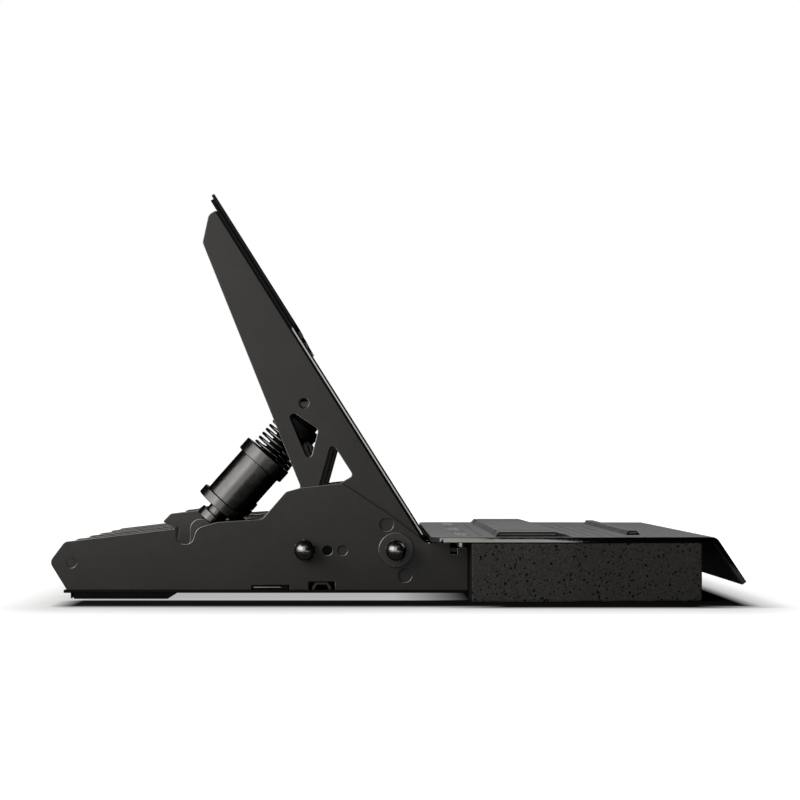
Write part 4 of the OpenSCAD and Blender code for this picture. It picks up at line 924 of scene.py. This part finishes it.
def markKink(plate, kinkX, sideY):
    # the sides turn sharply where the plate starts to taper
    pick(plate)
    points = plate.data.vertices
    bpy.ops.object.mode_set(mode="EDIT")
    bpy.ops.mesh.select_mode(type="EDGE")
    bpy.ops.mesh.select_all(action="DESELECT")
    bpy.ops.object.mode_set(mode="OBJECT")
    for edge in plate.data.edges:
        a, b = (points[k].co for k in edge.vertices)
        onKink = all(abs(end.x - kinkX) < 0.6 * mm and abs(end.y) > sideY for end in (a, b))
        edge.select = onKink and abs(a.z - b.z) > mm
    bpy.ops.object.mode_set(mode="EDIT")
    bpy.ops.mesh.mark_sharp()
    bpy.ops.object.mode_set(mode="OBJECT")


def punchHoles(plate):
    # rows of anti-slip holes, every second row half a step aside, none under a screw head
    punch = rod("punch", "heelCoat", heel["hole"], 8, corners=16)
    punches = []
    screwX, screwY = heelScrew["place"]
    for row, (x, reach) in enumerate(heel["rows"].items()):
        y = -reach + (heel["pitch"] / 2 if row % 2 else 0)
        while y <= reach:
            aside = min(abs(abs(y - middle / mm) - screwY) for middle in pedals.values())
            if max(abs(x - screwX), aside) >= heel["clearOfScrews"]:
                punches.append(placedCopy(punch, Matrix.Translation((x * mm, y * mm, heel["top"] * mm))))
            y += heel["pitch"]
    bpy.data.objects.remove(punch, do_unlink=True)
    cut(plate, joined(punches))


def makeHeelPlate():
    plate = plainCopy("heel_plate", "heelPlate", "heelCoat")
    punchHoles(plate)
    bevelled(plate, heel["edge"], angle=34, clamp=False)
    sideY, topZ, splitX = heel["sideY"] * mm, (heel["top"] + 0.3) * mm, heel["endSplit"] * mm

    def onSide(face):
        return abs(face.normal.y) > 0.95 and abs(face.center.y) > sideY and face.center.z < topZ

    def onRidgeEnd(face, least):
        return abs(face.normal.y) > 0.9 and face.center.z > topZ and face.area > least * mm * mm

    def paintedEndWall(face):
        return onRidgeEnd(face, 2) and not splitX < face.center.x < splitX + heel["endLength"] * mm

    paintFaces(plate, "heelSide", onSide)
    # the plate's underside is painted black as shade
    paintFaces(plate, "blackCoat", lambda face: face.normal.z < -0.3)
    pick(plate)
    for face in plate.data.polygons:
        face.select = onRidgeEnd(face, 4)
    bpy.ops.object.mode_set(mode="EDIT")
    bpy.ops.mesh.select_mode(type="FACE")
    bpy.ops.mesh.bisect(plane_co=(splitX, 0, 0), plane_no=(1, 0, 0))
    bpy.ops.object.mode_set(mode="OBJECT")
    # the ridges' end walls are painted black as shade, and inside a thin black line a paler grey as a painted
    # highlight
    paintFaces(plate, "blackCoat", paintedEndWall)
    insetFaces(plate, heel["endShadeLine"], "endWallHighlight", paintedEndWall)
    markKink(plate, heel["kinkX"] * mm, sideY)
    smooth(plate)
    return finished(plate, "heel_plate")


def makeHeelScrews():
    head = rod("head", "nutBlack", heelScrew["head"], heelScrew["headHeight"],
               (0, 0, -heelScrew["headHeight"] / 2), 36)
    bevelled(head, 0.4, 3)
    cut(head, rod("socket", "nutBlack", heelScrew["socket"], heelScrew["socketDepth"], corners=6))
    shank = rod("shank", "nutBlack", heelScrew["shank"], heelScrew["shankLength"],
                (0, 0, heelScrew["shankTop"] - heelScrew["shankLength"] / 2), 24)
    bevelled(shank, 0.4)
    master = joined([head, shank])
    smooth(master)
    screwX, screwY = heelScrew["place"]
    copies = []
    for middle in pedals.values():
        for side in (-1, 1):
            spot = (screwX * mm, middle + side * screwY * mm, heel["top"] * mm)
            copies.append(placedCopy(master, Matrix.Translation(spot)))
    bpy.data.objects.remove(master, do_unlink=True)
    screws = joined(copies)
    screws.name = "heelScrews"
    return finished(screws, "heel_plate_screws")


makeHeelPlate()
makeHeelScrews()
print("heel plate done")

# Controller lid with its four screws and vent slots

lid = {
    "low": (-179.6, 27.25), "high": (-95.6, 71.25), "top": 30.0,
    "slots": 7, "slotPitch": 5.0, "slotSize": (2.0, 18.0, 9.0), "slotEdge": 0.9,
    "inset": 5.0, "screw": 4.8, "screwHeight": 1.2,
}


def makeLid():
    piece = plainCopy("controller_lid", "controllerLid", "plastic")
    middleX, middleY = ((lid["low"][i] + lid["high"][i]) / 2 * mm for i in (0, 1))
    for k in range(lid["slots"]):
        x = middleX + (k - (lid["slots"] - 1) / 2) * lid["slotPitch"] * mm
        deselect()
        bpy.ops.mesh.primitive_cube_add(size=1, location=(x, middleY, lid["top"] * mm))
        slot = bpy.context.object
        slot.scale = [share * mm for share in lid["slotSize"]]
        pick(slot)
        bpy.ops.object.transform_apply(location=True, rotation=True, scale=True)
        bevelled(slot, lid["slotEdge"], 3)
        cut(piece, slot)
    bevelled(piece, 0.5)
    smooth(piece)
    parts = [piece]
    for x in (lid["low"][0] + lid["inset"], lid["high"][0] - lid["inset"]):
        for y in (lid["low"][1] + lid["inset"], lid["high"][1] - lid["inset"]):
            screw = rod("lidScrew", "nutBlack", lid["screw"], lid["screwHeight"],
                        (x, y, lid["top"] - lid["screwHeight"] / 2), 28)
            bevelled(screw, 0.35, 3)
            smooth(screw)
            parts.append(screw)
    return finished(joined(parts), "controller_lid")


makeLid()
print("controller lid done")

# Foam block: a stiff open-cell block with slightly uneven faces

foam = {"voxel": 1.4, "edge": 0.4, "unevenness": 0.2, "swell": 6}


def makeFoam():
    piece = plainCopy("foam_block", "foamBlock", "foam")
    bevelled(piece, foam["edge"], 1, 20)
    pick(piece)
    voxels = piece.modifiers.new("voxels", "REMESH")
    voxels.mode = "VOXEL"
    voxels.voxel_size = foam["voxel"] * mm
    bpy.ops.object.modifier_apply(modifier=voxels.name)
    block = plainCopy("foam_block", "block", "foam")
    pick(piece)
    drawn = piece.modifiers.new("drawn", "SHRINKWRAP")
    drawn.target = block
    drawn.wrap_method = "NEAREST_SURFACEPOINT"
    bpy.ops.object.modifier_apply(modifier=drawn.name)
    bpy.data.objects.remove(block, do_unlink=True)
    cloud = bpy.data.textures.new("foamCells", "CLOUDS")
    cloud.noise_scale = foam["swell"] * mm
    uneven = piece.modifiers.new("uneven", "DISPLACE")
    uneven.texture = cloud
    uneven.texture_coords = "LOCAL"
    uneven.strength = foam["unevenness"] * mm
    uneven.mid_level = 1.0
    bpy.ops.object.modifier_apply(modifier=uneven.name)
    bpy.ops.object.shade_smooth()
    # the foam's face towards the pedals is painted near-black as shade
    paintFaces(piece, "foamPaintedShade", lambda face: face.normal.x < -0.8)
    return finished(piece, "foam_block")


makeFoam()
print("foam done")
